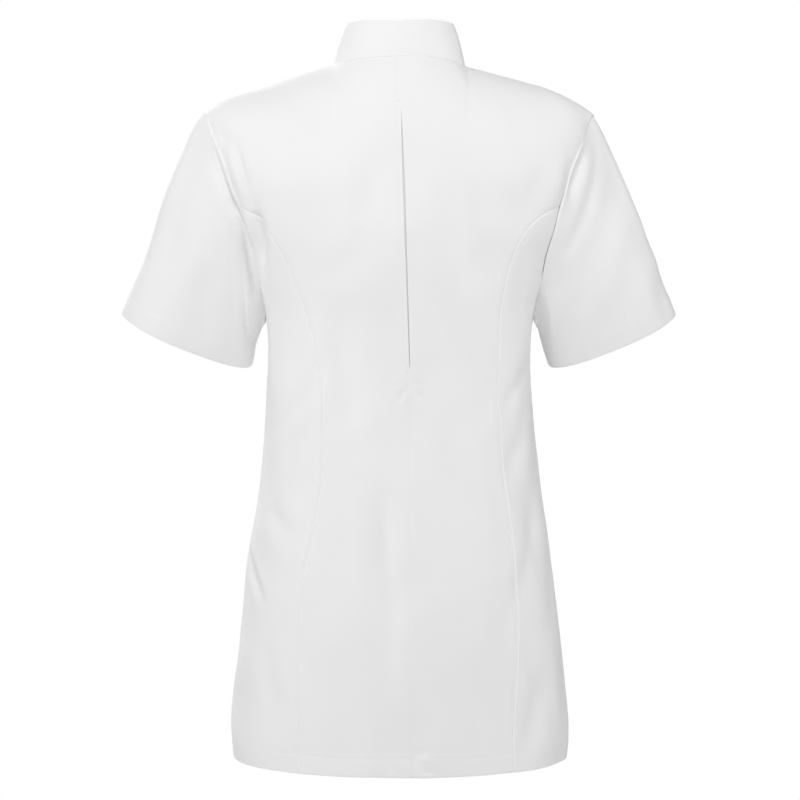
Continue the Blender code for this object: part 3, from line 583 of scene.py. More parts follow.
# ---- grids ----
def along(line, share):
    """Points of a line at shares of its length."""
    return sample(share * (len(line) - 1), np.arange(len(line)), line)


def shares(length, start_steps, end_steps, square=SQUARE):
    """Shares of the way along a length: close together at both ends and even in between."""
    start, end = start_steps / length, 1 - end_steps[::-1] / length
    count = max(2, round((end[0] - start[-1]) * length / square))
    return np.concatenate([start, np.linspace(start[-1], end[0], count + 1)[1:-1], end])


def calm(line):
    """The chord of a line with the first three sine waves of its way off it, which leaves its bends out."""
    s = np.linspace(0, 1, len(line))[:, None]
    chord = line[0] + s * (line[-1] - line[0])
    waves = np.sin(pi * s * np.array([1, 2, 3]))
    return chord + waves @ np.linalg.lstsq(waves, line - chord, rcond=None)[0]


def coons(bottom, top, left, right, s, v):
    """Grid between four edges: the sum of the two blends across less the blend of the corners. The
    bends of the top edge fade fast below it. s holds the shares across of each row, and v those up."""
    up = v[:, None, None]
    across = s[..., None]
    calm_top = calm(top)
    blend = (1 - up) * along(bottom, s) + up * along(calm_top, s) + up ** TOP_FADE * along(top - calm_top, s)
    blend = blend + (1 - across) * along(left, v)[:, None] + across * along(right, v)[:, None]
    corners = (1 - up) * ((1 - across) * bottom[0] + across * bottom[-1])
    return blend - corners - up * ((1 - across) * top[0] + across * top[-1])


def grid_normals(points, closed=False):
    """Cross products of the steps across and up a grid. A closed one goes round a tube."""
    if closed:
        across = np.roll(points, -1, axis=1) - np.roll(points, 1, axis=1)
    else:
        across = np.gradient(points, axis=1)
    return unit(np.cross(across, np.gradient(points, axis=0)))


def bell(distance, width):
    """1 on a line, fading to both sides of it over a width."""
    return np.exp(-(distance / width) ** 2)


def outward(points, guide, closed=False):
    """Directions of a grid on the side of the guide. Those of its outermost two rows, which lie very close
    together, are taken from the third, and the same for the columns of an open grid."""
    normals = grid_normals(points, closed)
    normals *= np.sign(np.sum(normals * guide))
    normals[:2], normals[-2:] = normals[2], normals[-3]
    if not closed:
        normals[:, :2], normals[:, -2:] = normals[:, 2:3], normals[:, -3:-2]
    return normals


def nearest(points, line):
    """Distance of each point from a line of points, and the share of the way along it."""
    flat = points.reshape(-1, 3).astype(np.float32)
    line = line.astype(np.float32)
    square = (flat ** 2).sum(1)[:, None] + (line ** 2).sum(1)[None] - 2 * flat @ line.T
    which = square.argmin(axis=1)
    distance = np.linalg.norm(flat - line[which], axis=1)
    return distance.reshape(points.shape[:-1]), (which / (len(line) - 1)).reshape(points.shape[:-1])


def folded(points, normals, curves):
    """Presses each fold in: a trough of its depth that fades over its half width and towards its ends,
    with a low ridge to each side of it."""
    height = np.zeros(points.shape[:-1])
    for line, half_width, depth, ridge_left, ridge_right in curves:
        low, high = line.min(axis=0) - FOLD_REACH * half_width, line.max(axis=0) + FOLD_REACH * half_width
        near = ((points > low) & (points < high)).all(axis=-1)
        if not near.any():
            continue
        share = nearest(points[near], line)[1]
        offset = points[near] - along(line, share)
        ahead, behind = (along(line, np.clip(share + step, 0, 1)) for step in (FOLD_STEP, -FOLD_STEP))
        run = unit(ahead - behind)
        taper = np.sin(pi * np.clip(share, FOLD_END, 1 - FOLD_END)) ** FOLD_TAPER
        taper *= bell(np.sum(offset * run, axis=-1), half_width)
        taper *= bell(np.sum(offset * normals[near], axis=-1), FOLD_THROUGH * half_width)
        away = np.sum(offset * np.cross(run, normals[near]), axis=-1)
        left, right = (bell(away + at * half_width, RIDGE_WIDTH * half_width) for at in (RIDGE_AT, -RIDGE_AT))
        height[near] += depth * taper * (ridge_left * left + ridge_right * right - bell(away, half_width))
    return points + normals * height[..., None]


def bowed_lines(table):
    """Each fold's line in x and height, with its half width, depth and ridges."""
    t = np.linspace(0, 1, 40)
    for *measures, ridge_left, ridge_right in table:
        x0, z0, x1, z1, bow, half_width, depth = np.array(measures) / 1000
        run = np.array([x1 - x0, z1 - z0]) / np.hypot(x1 - x0, z1 - z0)
        side = 4 * bow * t * (1 - t)
        line = x0 + (x1 - x0) * t - run[1] * side, z0 + (z1 - z0) * t + run[0] * side
        yield *line, (half_width, depth, ridge_left, ridge_right)


def body_curves(table, back):
    """The folds' lines on the form."""
    return [(form(place(x, z, back)), *rest) for x, z, rest in bowed_lines(table)]


def sleeve_curves(table, points, normals, back):
    """The folds' lines on a sleeve: its nearest points, seen from behind or from the front, smoothed."""
    flat = points[normals[..., 1] * (1 if back else -1) > FACING]
    curves = []
    for x, z, rest in bowed_lines(table):
        if x.mean() * flat[:, 0].mean() < 0:
            continue
        which = ((flat[None, :, 0] - x[:, None]) ** 2 + (flat[None, :, 2] - z[:, None]) ** 2).argmin(axis=1)
        line = flat[which]
        for _ in range(LINE_ROUNDS):
            line[1:-1] = (line[:-2] + line[1:-1] + line[2:]) / 3
        curves.append((line, *rest))
    return curves


def drift(points):
    """Slow unevenness of hanging cloth: waves that cross at different slants, each bent by two others.
    They run over x and height, shifted by a part of y so that they differ on the back and the front."""
    x, y, z = np.moveaxis(points, -1, 0)
    across = x + 0.7 * y
    (up_length, up_size), (slant_length, slant_size) = BENDS
    bend = up_size * np.sin(2 * pi * z / up_length + 0.4)
    bend = bend + slant_size * np.sin(2 * pi * (across - z) / slant_length)
    height = np.zeros(points.shape[:-1])
    for length, slant, phase, size in WAVES:
        along_wave = (across + bend) * cos(slant) + (z + 1.3 * bend) * sin(slant)
        height += size * np.sin(2 * pi * along_wave / length + phase)
    return height


def dents(distance, *rows):
    """Rounded dents side by side: each is a bell at its own distance from a seam or an edge."""
    return -sum(depth * bell(distance - at, width) for at, depth, width in rows)


def puckers(at, from_line, *waves):
    """Waves along a row of stitches whose pitch wanders, fading to both sides of the row."""
    height = sum(size * np.sin(2 * pi * at / pitch + bend * np.sin(2 * pi * at / slow))
                 for size, pitch, bend, slow in waves)
    return height * bell(from_line, PUCKER_REACH)


def seam_relief(distance, at, stitched, share=1.0, depth=SEAM_DEPTH):
    """A seam lies in a groove between two rounded edges. A row of topstitching beside it presses a
    shallow dent, and the cloth puckers a little along both, by a share of the usual height."""
    rows = [(0.0, depth, SEAM_WIDTH)] + ([SEAM_DENT] if stitched else [])
    return dents(distance, *rows) + share * puckers(at, distance, *SEAM_PUCKERS)


def hem_relief(distance, at, turn=HEM_TURN):
    """The hem's double layer stands a little proud, and its row of stitches dents it."""
    stitch = turn - HEM_TURN + HEM_STITCH
    height = HEM_LAYER * inside(distance, turn, HEM_SOFT) + puckers(at, distance - stitch, HEM_PUCKER)
    return height + dents(distance, HEM_EDGE, (stitch, *HEM_DENT))


# ---- meshes ----
def squares(index, closed=False):
    """Faces between the neighbours of a grid of vertex numbers. A closed one goes round."""
    if closed:
        index = np.concatenate([index, index[:, :1]], axis=1)
    return np.stack([index[:-1, :-1], index[:-1, 1:], index[1:, 1:], index[1:, :-1]], axis=-1).reshape(-1, 4)


def show(thing):
    """Puts an object into the scene."""
    bpy.context.scene.collection.objects.link(thing)


def new_piece(name, vertices, faces, uv, finish, slot):
    """A mesh object at the origin, riding on the one body, with a UV map in metres of cloth."""
    mesh = bpy.data.meshes.new(name)
    mesh.vertices.add(len(vertices))
    mesh.vertices.foreach_set("co", np.ascontiguousarray(vertices, dtype=np.float32).ravel())
    mesh.loops.add(faces.size)
    mesh.loops.foreach_set("vertex_index", faces.astype(np.int32).ravel())
    mesh.polygons.add(len(faces))
    mesh.polygons.foreach_set("loop_start", np.arange(0, faces.size, faces.shape[1], dtype=np.int32))
    mesh.update(calc_edges=True)
    if uv is not None:
        layer = mesh.uv_layers.new(name="cloth")
        layer.data.foreach_set("uv", uv[faces.ravel()].astype(np.float32).ravel())
    mesh.shade_smooth()
    mesh.materials.append(finish)
    piece = bpy.data.objects.new(name, mesh)
    show(piece)
    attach(piece, "root")
    return piece


def shell(name, outer, normals, thickness, finish, closed=False):
    """A cloth shell: the outer grid, the inner one a thickness inside it, and round edges between. They
    stand out from the third row, because the first three lie very close together."""
    thickness = np.broadcast_to(thickness, outer.shape[:2])
    if np.sum(grid_normals(outer, closed) * normals) < 0:
        outer, normals, thickness = outer[:, ::-1], normals[:, ::-1], thickness[:, ::-1]
    rows, cols = outer.shape[:2]
    layer = rows * cols
    index = np.arange(layer).reshape(rows, cols)
    loops = [(np.concatenate([index[0, :-1], index[:-1, -1], index[-1, :0:-1], index[:0:-1, 0]]),
              np.concatenate([index[2, :-1], index[:-1, -3], index[-3, :0:-1], index[:0:-1, 2]]))]
    if closed:
        loops = [(index[0], index[2]), (index[-1, ::-1], index[-3, ::-1])]
    sheet = squares(index, closed)
    faces = [sheet, sheet[:, ::-1] + layer]
    across = arc(outer, 1)
    uvs = [np.stack([across - across[:, cols // 2, None], arc(outer)], axis=-1).reshape(-1, 2)] * 2
    inner = (outer - normals * thickness[..., None]).reshape(-1, 3)
    outer = outer.reshape(-1, 3)
    vertices, count = [outer, inner], 2 * layer
    for edge, next_to in loops:
        reach = thickness.reshape(-1)[edge][:, None] * EDGE_REACH
        vertices.append((outer[edge] + inner[edge]) / 2 + unit(outer[edge] - outer[next_to]) * reach)
        uvs.append(uvs[0][edge])
        middle = count + np.arange(len(edge))
        count += len(edge)
        ahead, middle_ahead = np.roll(edge, -1), np.roll(middle, -1)
        faces.append(np.stack([ahead, edge, middle, middle_ahead], axis=-1))
        faces.append(np.stack([middle_ahead, middle, edge + layer, ahead + layer], axis=-1))
    parts = (np.concatenate(part) for part in (vertices, faces, uvs))
    return new_piece(name, *parts, finish, "cloth")


def strands(name, centres, tangents, normals, length, radius, arch=0.3):
    """Short rounded bars of thread with pointed ends, one at each centre along its tangent. Each has three
    rings of four points and two ends, and its middle stands up by a share of its radius."""
    across = unit(np.cross(tangents, normals))
    ring = np.array([[cos(a), sin(a)] for a in (0, pi / 2, pi, 3 * pi / 2)])
    rings = []
    # Share of the length, then size of the ring and its height as shares of the radius.
    for share, size, lift in ((-0.5, 0.0, -0.9), (-0.32, 0.85, -0.2), (0.0, 1.0, arch), (0.32, 0.85, -0.2),
                              (0.5, 0.0, -0.9)):
        middle = (centres + tangents * share * length + normals * lift * radius)[:, None]
        around = ring[None, :, :1] * across[:, None] + ring[None, :, 1:] * normals[:, None]
        rings.append(middle if size == 0 else middle + radius * size * around)
    vertices = np.concatenate(rings, axis=1)
    points, bars = [], []
    for k in range(4):
        n = (k + 1) % 4
        points += [(0, 1 + n, 1 + k), (13, 9 + k, 9 + n)]
        bars += [(low + k, low + n, low + 4 + n, low + 4 + k) for low in (1, 5)]
    bars = np.array(bars)
    first = 14 * np.arange(len(centres))[:, None, None]
    faces = [(first + part).reshape(-1, 3) for part in (np.array(points), bars[:, :3], bars[:, (0, 2, 3)])]
    return new_piece(name, vertices.reshape(-1, 3), np.concatenate(faces), None, thread_finish, "cloth")


def stitch_row(grid, normals, line, line_normals, inward, start=0.0, stop=1.0):
    """Centres, directions and normals of the stitches of one row: the line moved in by a distance and
    set on the nearest part of the surface."""
    flat, flat_normals = grid.reshape(-1, 3), normals.reshape(-1, 3)
    into = unit(np.cross(line_normals, np.gradient(line, axis=0)))
    into *= np.sign(np.sum(into * (flat.mean(axis=0) - line)))
    moved = line + into * inward
    length = arc(moved)
    half = STITCH_PITCH / 2
    at = np.arange(start * length[-1] + half, stop * length[-1] - half, STITCH_PITCH)
    spots = sample(at, length, moved)
    which = ((spots ** 2).sum(1)[:, None] + (flat ** 2).sum(1)[None] - 2 * spots @ flat.T).argmin(axis=1)
    up = flat_normals[which]
    spots = spots + up * np.sum((flat[which] - spots) * up, axis=-1, keepdims=True)
    return spots - up * THREAD * SUNK, unit(np.gradient(spots, axis=0)), up


# ---- materials ----
def linear(code):
    """An sRGB hex colour as linear red, green, blue and alpha."""
    values = np.array([int(code[k:k + 2], 16) / 255 for k in (1, 3, 5)])
    values = np.where(values <= 0.04045, values / 12.92, ((values + 0.055) / 1.055) ** 2.4)
    return (*values.tolist(), 1.0)


def feed(tree, made, inputs):
    """Sets a node's inputs, each to a value, to a socket or to another node's first output."""
    for name, value in inputs:
        value = value.outputs[0] if isinstance(value, bpy.types.Node) else value
        if isinstance(value, bpy.types.NodeSocket):
            tree.links.new(value, made.inputs[name])
        else:
            made.inputs[name].default_value = value


def node(tree, kind, inputs=(), **settings):
    """Adds a node with its settings and its inputs."""
    made = tree.nodes.new("ShaderNode" + kind)
    for name, value in settings.items():
        setattr(made, name, value)
    feed(tree, made, inputs)
    return made


def new_material(name):
    """A material, the function that adds a node to it, its tree and its shader."""
    made = bpy.data.materials.new(name)
    made.use_nodes = True
    return made, partial(node, made.node_tree), made.node_tree, made.node_tree.nodes["Principled BSDF"]


def poplin():
    """White polyester and cotton poplin, bleached and pressed: matt, with a faint sheen from its round
    threads, a fine plain weave and slubs. Its white varies softly in cloudy patches: painted shade that
    stands in for the soft mottled shading of the hanging cloth."""
    made, add, tree, shader = new_material("bleached_poplin")
    cloth = add("UVMap", uv_map="cloth")
    spot = add("TexCoord")
    crossing = []
    parts = add("SeparateXYZ", [(0, cloth)])
    for axis in (0, 1):
        turns = add("Math", [(0, parts.outputs[axis]), (1, 2 * pi / WEAVE_PITCH)], operation="MULTIPLY")
        crossing.append(add("Math", [(0, turns)], operation="SINE"))
    weave = add("Math", [(0, crossing[0]), (1, crossing[1])], operation="MULTIPLY")
    slubs = add("TexNoise", [("Vector", cloth), ("Scale", 260.0), ("Detail", 3.0)])
    # Painted shade: soft cloudy noise that darkens the white in patches, in place of the mottled shading of
    # the drape.
    painted_mottled_shade = add("TexNoise", [("Vector", spot.outputs["Object"]), ("Scale", 9.0), ("Detail", 2.0)])
    relief = add("Math", [(0, weave), (1, 0.5), (2, slubs)], operation="MULTIPLY_ADD")
    bump = add("Bump", [("Strength", 0.35), ("Distance", WEAVE_DEPTH), ("Height", relief)])
    # The base colour runs between two whites by that painted shade.
    white = add("Mix", [("Factor", painted_mottled_shade), ("A", linear("#F4F4F4")), ("B", linear("#F8F8F8"))],
                data_type="RGBA")
    dry = add("MapRange", [("Value", slubs), ("To Min", 0.72), ("To Max", 0.86)])
    feed(tree, shader, [("Base Color", white.outputs["Result"]), ("Roughness", dry), ("Normal", bump),
                        ("Sheen Weight", 0.08), ("Sheen Roughness", 0.5), ("Specular IOR Level", 0.25)])
    return made


def polyester_thread():
    """Spun polyester sewing thread: white, a little glossier than the cloth, with a fine twist. The darker
    half of each twist band is painted shade in the grooves between the plies.
    """
    made, add, tree, shader = new_material("spun_polyester_thread")
    spot = add("TexCoord")
    # One of the texture's bands is a twentieth of a whole turn's length.
    twist = add("TexWave", [("Vector", spot.outputs["Object"]), ("Scale", 2 * pi / TWIST_PITCH / 20),
                            ("Distortion", 1.0)], bands_direction="DIAGONAL")
    bump = add("Bump", [("Strength", 0.3), ("Distance", 0.00005), ("Height", twist.outputs["Fac"])])
    # Painted shade: the colour darkens with the twist bands, as shade in the grooves between the plies.
    shade = add("Mix", [("Factor", twist.outputs["Fac"]), ("A", linear("#EFF0F1")), ("B", linear("#F8F8F8"))],
                data_type="RGBA")
    feed(tree, shader, [("Base Color", shade.outputs["Result"]), ("Normal", bump), ("Roughness", 0.5)])
    return made


def button_resin():
    """Cast polyester button resin, tumbled: smooth, slightly milky white, with a soft gloss."""
    made, add, tree, shader = new_material("cast_polyester_resin")
    spot = add("TexCoord")
    milk = add("TexNoise", [("Vector", spot.outputs["Object"]), ("Scale", 240.0), ("Detail", 2.0)])
    shade = add("Mix", [("Factor", milk), ("A", linear("#EEEEEA")), ("B", linear("#F6F6F3"))],
                data_type="RGBA")
    gloss = add("MapRange", [("Value", milk), ("To Min", 0.24), ("To Max", 0.34)])
    feed(tree, shader, [("Base Color", shade.outputs["Result"]), ("Roughness", gloss), ("IOR", 1.54)])
    return made


cloth_finish = poplin()
thread_finish = polyester_thread()
button_finish = button_resin()


# ---- panels of the body ----
def sew(name, outer, normals, thick, rows, closed=False):
    """A piece's shell in place of its solid, with its rows of stitches and its cut."""
    piece = shell(f"{name}_cloth", outer, normals, thick, cloth_finish, closed)
    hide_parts(name)
    stitches = []
    if rows:
        centres, tangents, up = (np.concatenate(part) for part in zip(*rows))
        stitches = [strands(f"stitching_{name}", centres, tangents, up, STITCH, THREAD)]


def edge_line(points, normals, edge):
    """A grid's edge with its normals, resampled evenly."""
    cut = {"left": np.s_[:, 0], "right": np.s_[:, -1], "top": np.s_[-1], "bottom": np.s_[0]}[edge]
    length = arc(points[cut])
    at = np.linspace(0, length[-1], EDGE_POINTS)
    return sample(at, length, points[cut]), unit(sample(at, length, normals[cut]))


def edge_rows(outer, normals, *rows):
    """Rows of stitches along a grid's edges: the edge, the distance from it, and the shares of it where
    the row starts and stops."""
    return [stitch_row(outer, normals, *edge_line(outer, normals, edge), *rest) for edge, *rest in rows]


def panel_grid(bottom, top, left, right):
    """Turns and climbs of a panel, whose rows are closer together at its seams and its hem."""
    v = shares(body_length(left), HEM_EDGE_STEPS, EDGE_STEPS)
    left_at, right_at = form(along(left, v)), form(along(right, v))
    width = np.linalg.norm(right_at - left_at, axis=1)[:, None]
    base = shares(width.max(), EDGE_STEPS, EDGE_STEPS)
    steps = len(EDGE_STEPS)
    start = EDGE_STEPS / np.maximum(width, NARROWEST)
    inner = (base[steps:-steps] - base[steps - 1]) / (base[-steps] - base[steps - 1])
    low, high = start[:, -1:], 1 - start[:, -1:]
    s = np.concatenate([start, low + (high - low) * inner, 1 - start[:, ::-1]], axis=1)
    return coons(bottom, top, left, right, s, v)


def panel(name, top, left, right, stitched, folds, slit=False):
    """One panel of the body, straight along its hem. stitched names the edges with a row of topstitching
    on this panel, with the shares of the edge where it starts and stops. slit is for the two panels at the
    centre back."""
    lines = {"left": left, "right": right, "top": top, "bottom": np.linspace(left[0], right[0], FINE)}
    grid = panel_grid(lines["bottom"], top, left, right)
    points, normals = surface(grid)
    lines = {edge: form(line) for edge, line in lines.items()}
    near = {edge: nearest(points, line) for edge, line in lines.items()}
    at = {edge: near[edge][1] * arc(line)[-1] for edge, line in lines.items()}
    pressed = folded(points, normals, folds) + normals * drift(points)[..., None]
    depths = dict.fromkeys(("left", "right", "top"), SEAM_DEPTH)
    if slit:
        on_armhole = near["right"][1] > stitched["right"][1]
        depths["left"] = SEAM_DEPTH * np.interp(points[..., 2], PLEAT_TOP_HEIGHTS, PLEAT_SEAM)
        depths["right"] = np.minimum(SEAM_DEPTH, np.where(on_armhole, armhole_depth(points), SEAM_DEPTH))
        depths["top"] = np.where(np.abs(points[..., 0]) < NECK, NECK_SEAM_DEPTH, SEAM_DEPTH)
        opening = np.interp(points[..., 2], *PLEAT_SLIT.T)
        side = np.sign(points[:, -1, 0].mean() - points[:, 0, 0].mean())
        pressed[..., 0] += side * opening / 2 * bell(near["left"][0], SLIT_REACH)
    relief = hem_relief(near["bottom"][0], at["bottom"])
    thick = CLOTH + EXTRA * inside(near["bottom"][0], HEM_TURN, SOFT)
    for edge, depth in depths.items():
        distance, share = near[edge][0], np.clip(depth / SEAM_DEPTH, 0, 1)
        relief += seam_relief(distance, at[edge], edge in stitched, share, depth)
        thick += EXTRA * inside(distance, ALLOWANCE, SOFT)
    outer = pressed + outward(pressed, normals) * relief[..., None]
    over = unit(outward(outer, normals) + FORM_SHARE * normals)
    rows = [(edge, TOPSTITCH, *span) for edge, span in stitched.items()]
    rows.append(("bottom", HEM_STITCH, *HEM_ROW))
    sew(name, outer, over, thick, edge_rows(outer, over, *rows))


def build_panels(back_curves, front_curves):
    """Each side's centre panels, back and front, and then its side panels."""
    parts = ((True, "back", back_curves), (False, "front", front_curves))
    for side, name in ((1, "left"), (-1, "right")):
        for back, part, curves in parts:
            seam = princess(side, back)
            right = joined(seam, armhole(side, back)[0][::-1])
            stitched = {"right": (0.0, body_length(seam) / body_length(right) - PRINCESS_CLEAR)}
            if back:
                top = joined(neckline(side, True), shoulder(side, True), metric=TOP_METRIC)
                left = centre_back()
                if side > 0:
                    stitched["left"] = (0.0, PLEAT_STITCHED)
            else:
                right, top = unwrap(right, side), unwrap(shoulder(side, False), side)
                inner = front_edge(-BAND_HALF + UNDER_BAND if side < 0 else -UNDERLAP, NECKLINE_FRONT[1][0])
                left = joined(unwrap(inner, side), neckline(side, False))
                stitched["top"] = (0.0, 1.0)
            panel(f"{part}_{name}", top, left, right, stitched, curves, slit=back)
        for back, part, curves in parts:
            edges = armhole(side, back)[1], princess(side, back), side_seam(side)
            panel(f"{part}_side_{name}", *edges, {"right": SIDE_ROW} if back else {}, curves)


# ---- sleeves ----
def sleeve_loop(side, folds):
    """The armhole as one loop: tip of the shoulder, back, underarm, front. With the loop's points come
    the body's directions there, and those in which the sleeve goes on from the body."""
    back, front = (joined(*armhole(side, half))[::LOOP_STEP] for half in (True, False))
    front = front[::-1]
    grid = np.concatenate([back, [[side * pi / 2, UNDERARM]], front[:-1]])
    is_back = np.arange(len(grid)) <= len(back)
    points, normals = surface(grid)
    points = np.where(is_back[:, None], folded(points, normals, folds), points)
    points = points + normals * drift(points)[:, None]
    run = np.roll(points, -1, axis=0) - np.roll(points, 1, axis=0)
    onward = unit(np.cross(run, normals)) * side
    for _ in range(ONWARD_ROUNDS):
        onward = unit(np.roll(onward, -1, axis=0) + onward + np.roll(onward, 1, axis=0))
    return points, normals, onward


def cuff_loop(side, count):
    """An oval square to the arm, starting at its outer side and going round over the back."""
    out, forward = radians(ARM_OUT), radians(ARM_FORWARD)
    arm = unit(np.array([side * sin(out) * cos(forward), -sin(forward), -cos(out) * cos(forward)]))
    wide = unit(np.cross((0.0, 1.0, 0.0), arm)) * -side
    deep = unit(np.cross(arm, wide))
    deep *= np.sign(deep[1])
    angle = np.linspace(0, 2 * pi, count, endpoint=False)[:, None]
    centre = np.array(CUFF_CENTRE) * (side, 1, 1)
    power = np.where((np.cos(angle) < 0) & (np.sin(angle) > 0), 2 / INNER_SQUARE, 1.0)
    across = np.sign(np.cos(angle)) * np.abs(np.cos(angle)) ** power
    through_arm = np.sign(np.sin(angle)) * np.abs(np.sin(angle)) ** power
    return centre + CUFF_WIDE * across * wide + CUFF_DEEP * through_arm * deep, arm


def armhole_depth(points):
    """Depth of the seam at each point of an armhole."""
    table = SLEEVE_SEAM_LEFT if points[..., 0].mean() > 0 else SLEEVE_SEAM_RIGHT
    return np.where(points[..., 1] > 0, np.interp(points[..., 2], *table.T), SLEEVE_SEAM_FRONT)


def sleeve_steps(length):
    """Shares down the sleeve, close together at the armhole, the hem's stitches and the cuff."""
    hem = np.concatenate([EDGE_STEPS[:-1], HEM_STEPS + SLEEVE_HEM - HEM_TURN])
    return shares(length, SLEEVE_STEPS, hem, SLEEVE_SQUARE)


def build_sleeve(side, name, body_folds):
    """Each line of the sleeve leaves the armhole along the body's surface, where that leads down the
    arm, and arrives along the arm: a cubic with those two tangents."""
    loop, body_normals, onward = sleeve_loop(side, body_folds)
    cuff, arm = cuff_loop(side, len(loop))
    chord = cuff - loop
    length = np.linalg.norm(chord, axis=-1, keepdims=True)
    ahead = chord / length
    follow = np.clip(np.sum(onward * ahead, axis=-1, keepdims=True), 0, 1)
    start = unit(follow * onward + (1 - follow) * ahead) * length * SLEEVE_START
    end = unit(ahead + arm) * length * SLEEVE_END
    down = sleeve_steps(SLEEVE_LENGTH)
    s = down[:, None, None]
    points = loop + s * s * (3 - 2 * s) * chord + s * (1 - s) ** 2 * start + s * s * (s - 1) * end
    normals = grid_normals(points, True)
    normals *= np.sign(np.sum(normals * (points - points.mean(axis=1, keepdims=True))))
    curves = sleeve_curves(SLEEVE_BACK_FOLDS, points, normals, True)
    curves += sleeve_curves(SLEEVE_FRONT_FOLDS, points, normals, False)
    fade = np.clip(down / SEAM_FADE, 0, 1)[:, None, None]
    pressed = points + (folded(points, normals, curves) - points) * fade
    pressed = pressed + normals * drift(points)[..., None] * fade
    from_seam, around = arc(points), arc(points[:1], 1)
    from_cuff = from_seam[-1:] - from_seam
    depth = armhole_depth(loop)
    relief = seam_relief(from_seam, around, False, np.clip(depth / SEAM_DEPTH, 0, 1), depth)
    relief = relief + hem_relief(from_cuff, around, SLEEVE_HEM)
    near, share = nearest(points, points[:, points.shape[1] // 2])
    relief = relief + seam_relief(near, share * UNDERARM_LENGTH, False, SLEEVE_PUCKER)
    thick = CLOTH + EXTRA * inside(from_cuff, SLEEVE_HEM, SOFT) + EXTRA * inside(from_seam, ALLOWANCE, SOFT)
    outer = pressed + outward(pressed, normals, True) * relief[..., None]
    over = outward(outer, normals, True)
    agree = np.clip(np.sum(normals[0] * body_normals, axis=-1, keepdims=True), 0, 1)
    over[:2] = unit(over[:2] + BODY_SHARE * agree * body_normals)
    ring = np.argmin(np.abs(from_cuff.mean(axis=1) - (SLEEVE_HEM - HEM_TURN + HEM_STITCH)))
    line, up = (np.concatenate([part[ring], part[ring, :1]]) for part in (outer, over))
    sew(f"sleeve_{name}", outer, over, thick, [stitch_row(outer, over, line, up, 0.0)], closed=True)


# ---- collar ----
def build_collar():
    """A stand on the neckline that leans in, bulges out a little and has rounded front corners. Each half
    runs from the centre back to the middle of the front."""
    halves = []
    rows = shares(COLLAR_TALL, EDGE_STEPS[:-1], EDGE_STEPS[:-1], COLLAR_SQUARE)[:, None, None]
    for side in (1, -1):
        front = neckline(side, False)[::-1]
        front = front[form(front)[:, 0] * side > MIDDLE]
        middle = unwrap(place([MIDDLE], NECKLINE_FRONT[0][0], False), side)
        grid = np.concatenate([neckline(side, True), front[1:], middle])
        base, normals = surface(grid)
        length = arc(base)
        turned = COLLAR_CORNER * (1 - np.cos(np.linspace(pi / 2, 0, COLLAR_POINTS[1])))
        ends = length[-1] - COLLAR_END - turned
        at = np.concatenate([np.linspace(0, ends[0], COLLAR_POINTS[0])[:-1], ends])
        line = sample(at, length, base)
        normals = sample(at, length, normals)
        line = line + unit(np.cross(np.gradient(line, axis=0), normals)) * side * COLLAR_GAP
        share = at / at[-1]
        height = smooth(share, *np.array(COLLAR_HEIGHT).T)
        lean = np.radians(smooth(share, *np.array(COLLAR_LEAN).T))[:, None]
        corner = np.clip(COLLAR_CORNER - (at[-1] - at), 0, COLLAR_CORNER)
        height = (height - COLLAR_CORNER + np.sqrt(COLLAR_CORNER ** 2 - corner ** 2))[:, None]
        inward = unit((np.array(NECK_MIDDLE) - line) * (1, 1, 0))
        up = np.array(UP) * np.cos(lean) + inward * np.sin(lean)
        out = unit(np.array(UP) * np.sin(lean) - inward * np.cos(lean))
        foot = (1 - rows) ** 2 * normals * drift(line)[:, None]
        halves.append((line + rows * up * height + out * COLLAR_BULGE * np.sin(pi * rows) + foot, out))
    (left, left_out), (right, right_out) = halves
    points = np.concatenate([right[:, ::-1], left[:, 1:]], axis=1)
    normals = outward(points, np.concatenate([right_out[::-1], left_out[1:]]))
    relief = COLLAR_DRIFT * drift(points) * (rows[..., 0] * (2 - rows[..., 0]))
    for edge in ("left", "right", "top"):
        distance, _ = nearest(points, edge_line(points, normals, edge)[0])
        relief += dents(distance, COLLAR_EDGE, COLLAR_DENT)
    line = edge_line(points, normals, "bottom")[0]
    distance, share = nearest(points, line)
    relief += dents(distance, COLLAR_DENT)
    relief += seam_relief(distance, share * arc(line)[-1], False, COLLAR_PUCKER, NECK_SEAM_DEPTH)
    outer = points + normals * relief[..., None]
    over = outward(outer, normals)
    rows = edge_rows(outer, over, ("bottom", COLLAR_DENT[0], *HEM_ROW), ("top", COLLAR_DENT[0], *COLLAR_ROW))
    sew("collar", outer, over, COLLAR_THICK, rows)


# ---- band, pleat and buttons ----
def flat_grid(lines, s, v):
    """Grid between lines up the body, at shares across and up."""
    rows = np.stack([along(line, v) for line in lines], axis=1)
    return np.stack([sample(s, np.linspace(0, 1, len(lines)), row) for row in rows])


def build_band():
    """The band over the edges of both fronts, with a row of stitches along each side."""
    lines = []
    for x, point in ((-BAND_HALF, 1), (MIDDLE, 0), (BAND_HALF, 1)):
        line = front_edge(x, NECKLINE_FRONT[point][0])
        lines.append(np.stack([np.mod(line[:, 0], 2 * pi), line[:, 1]], axis=-1))
    s = shares(2 * BAND_HALF, EDGE_STEPS[:-1], EDGE_STEPS[:-1], BAND_SQUARE)
    v = shares(BAND_LENGTH, HEM_EDGE_STEPS, EDGE_STEPS[:-1])
    points, normals = surface(flat_grid(lines, s, v))
    relief = drift(points) + BAND_LIFT
    for edge in ("left", "right", "top", "bottom"):
        distance, share = nearest(points, edge_line(points, normals, edge)[0])
        relief += dents(distance, BAND_EDGE)
        if edge in ("left", "right"):
            relief += dents(distance, BAND_DENT) + puckers(share * BAND_LENGTH, distance, BAND_PUCKER)
    outer = points + normals * relief[..., None]
    over = outward(outer, normals)
    rows = edge_rows(outer, over, *((edge, BAND_DENT[0], *BAND_ROW) for edge in ("left", "right")))
    sew("button_band", outer, over, BAND_THICK, rows)


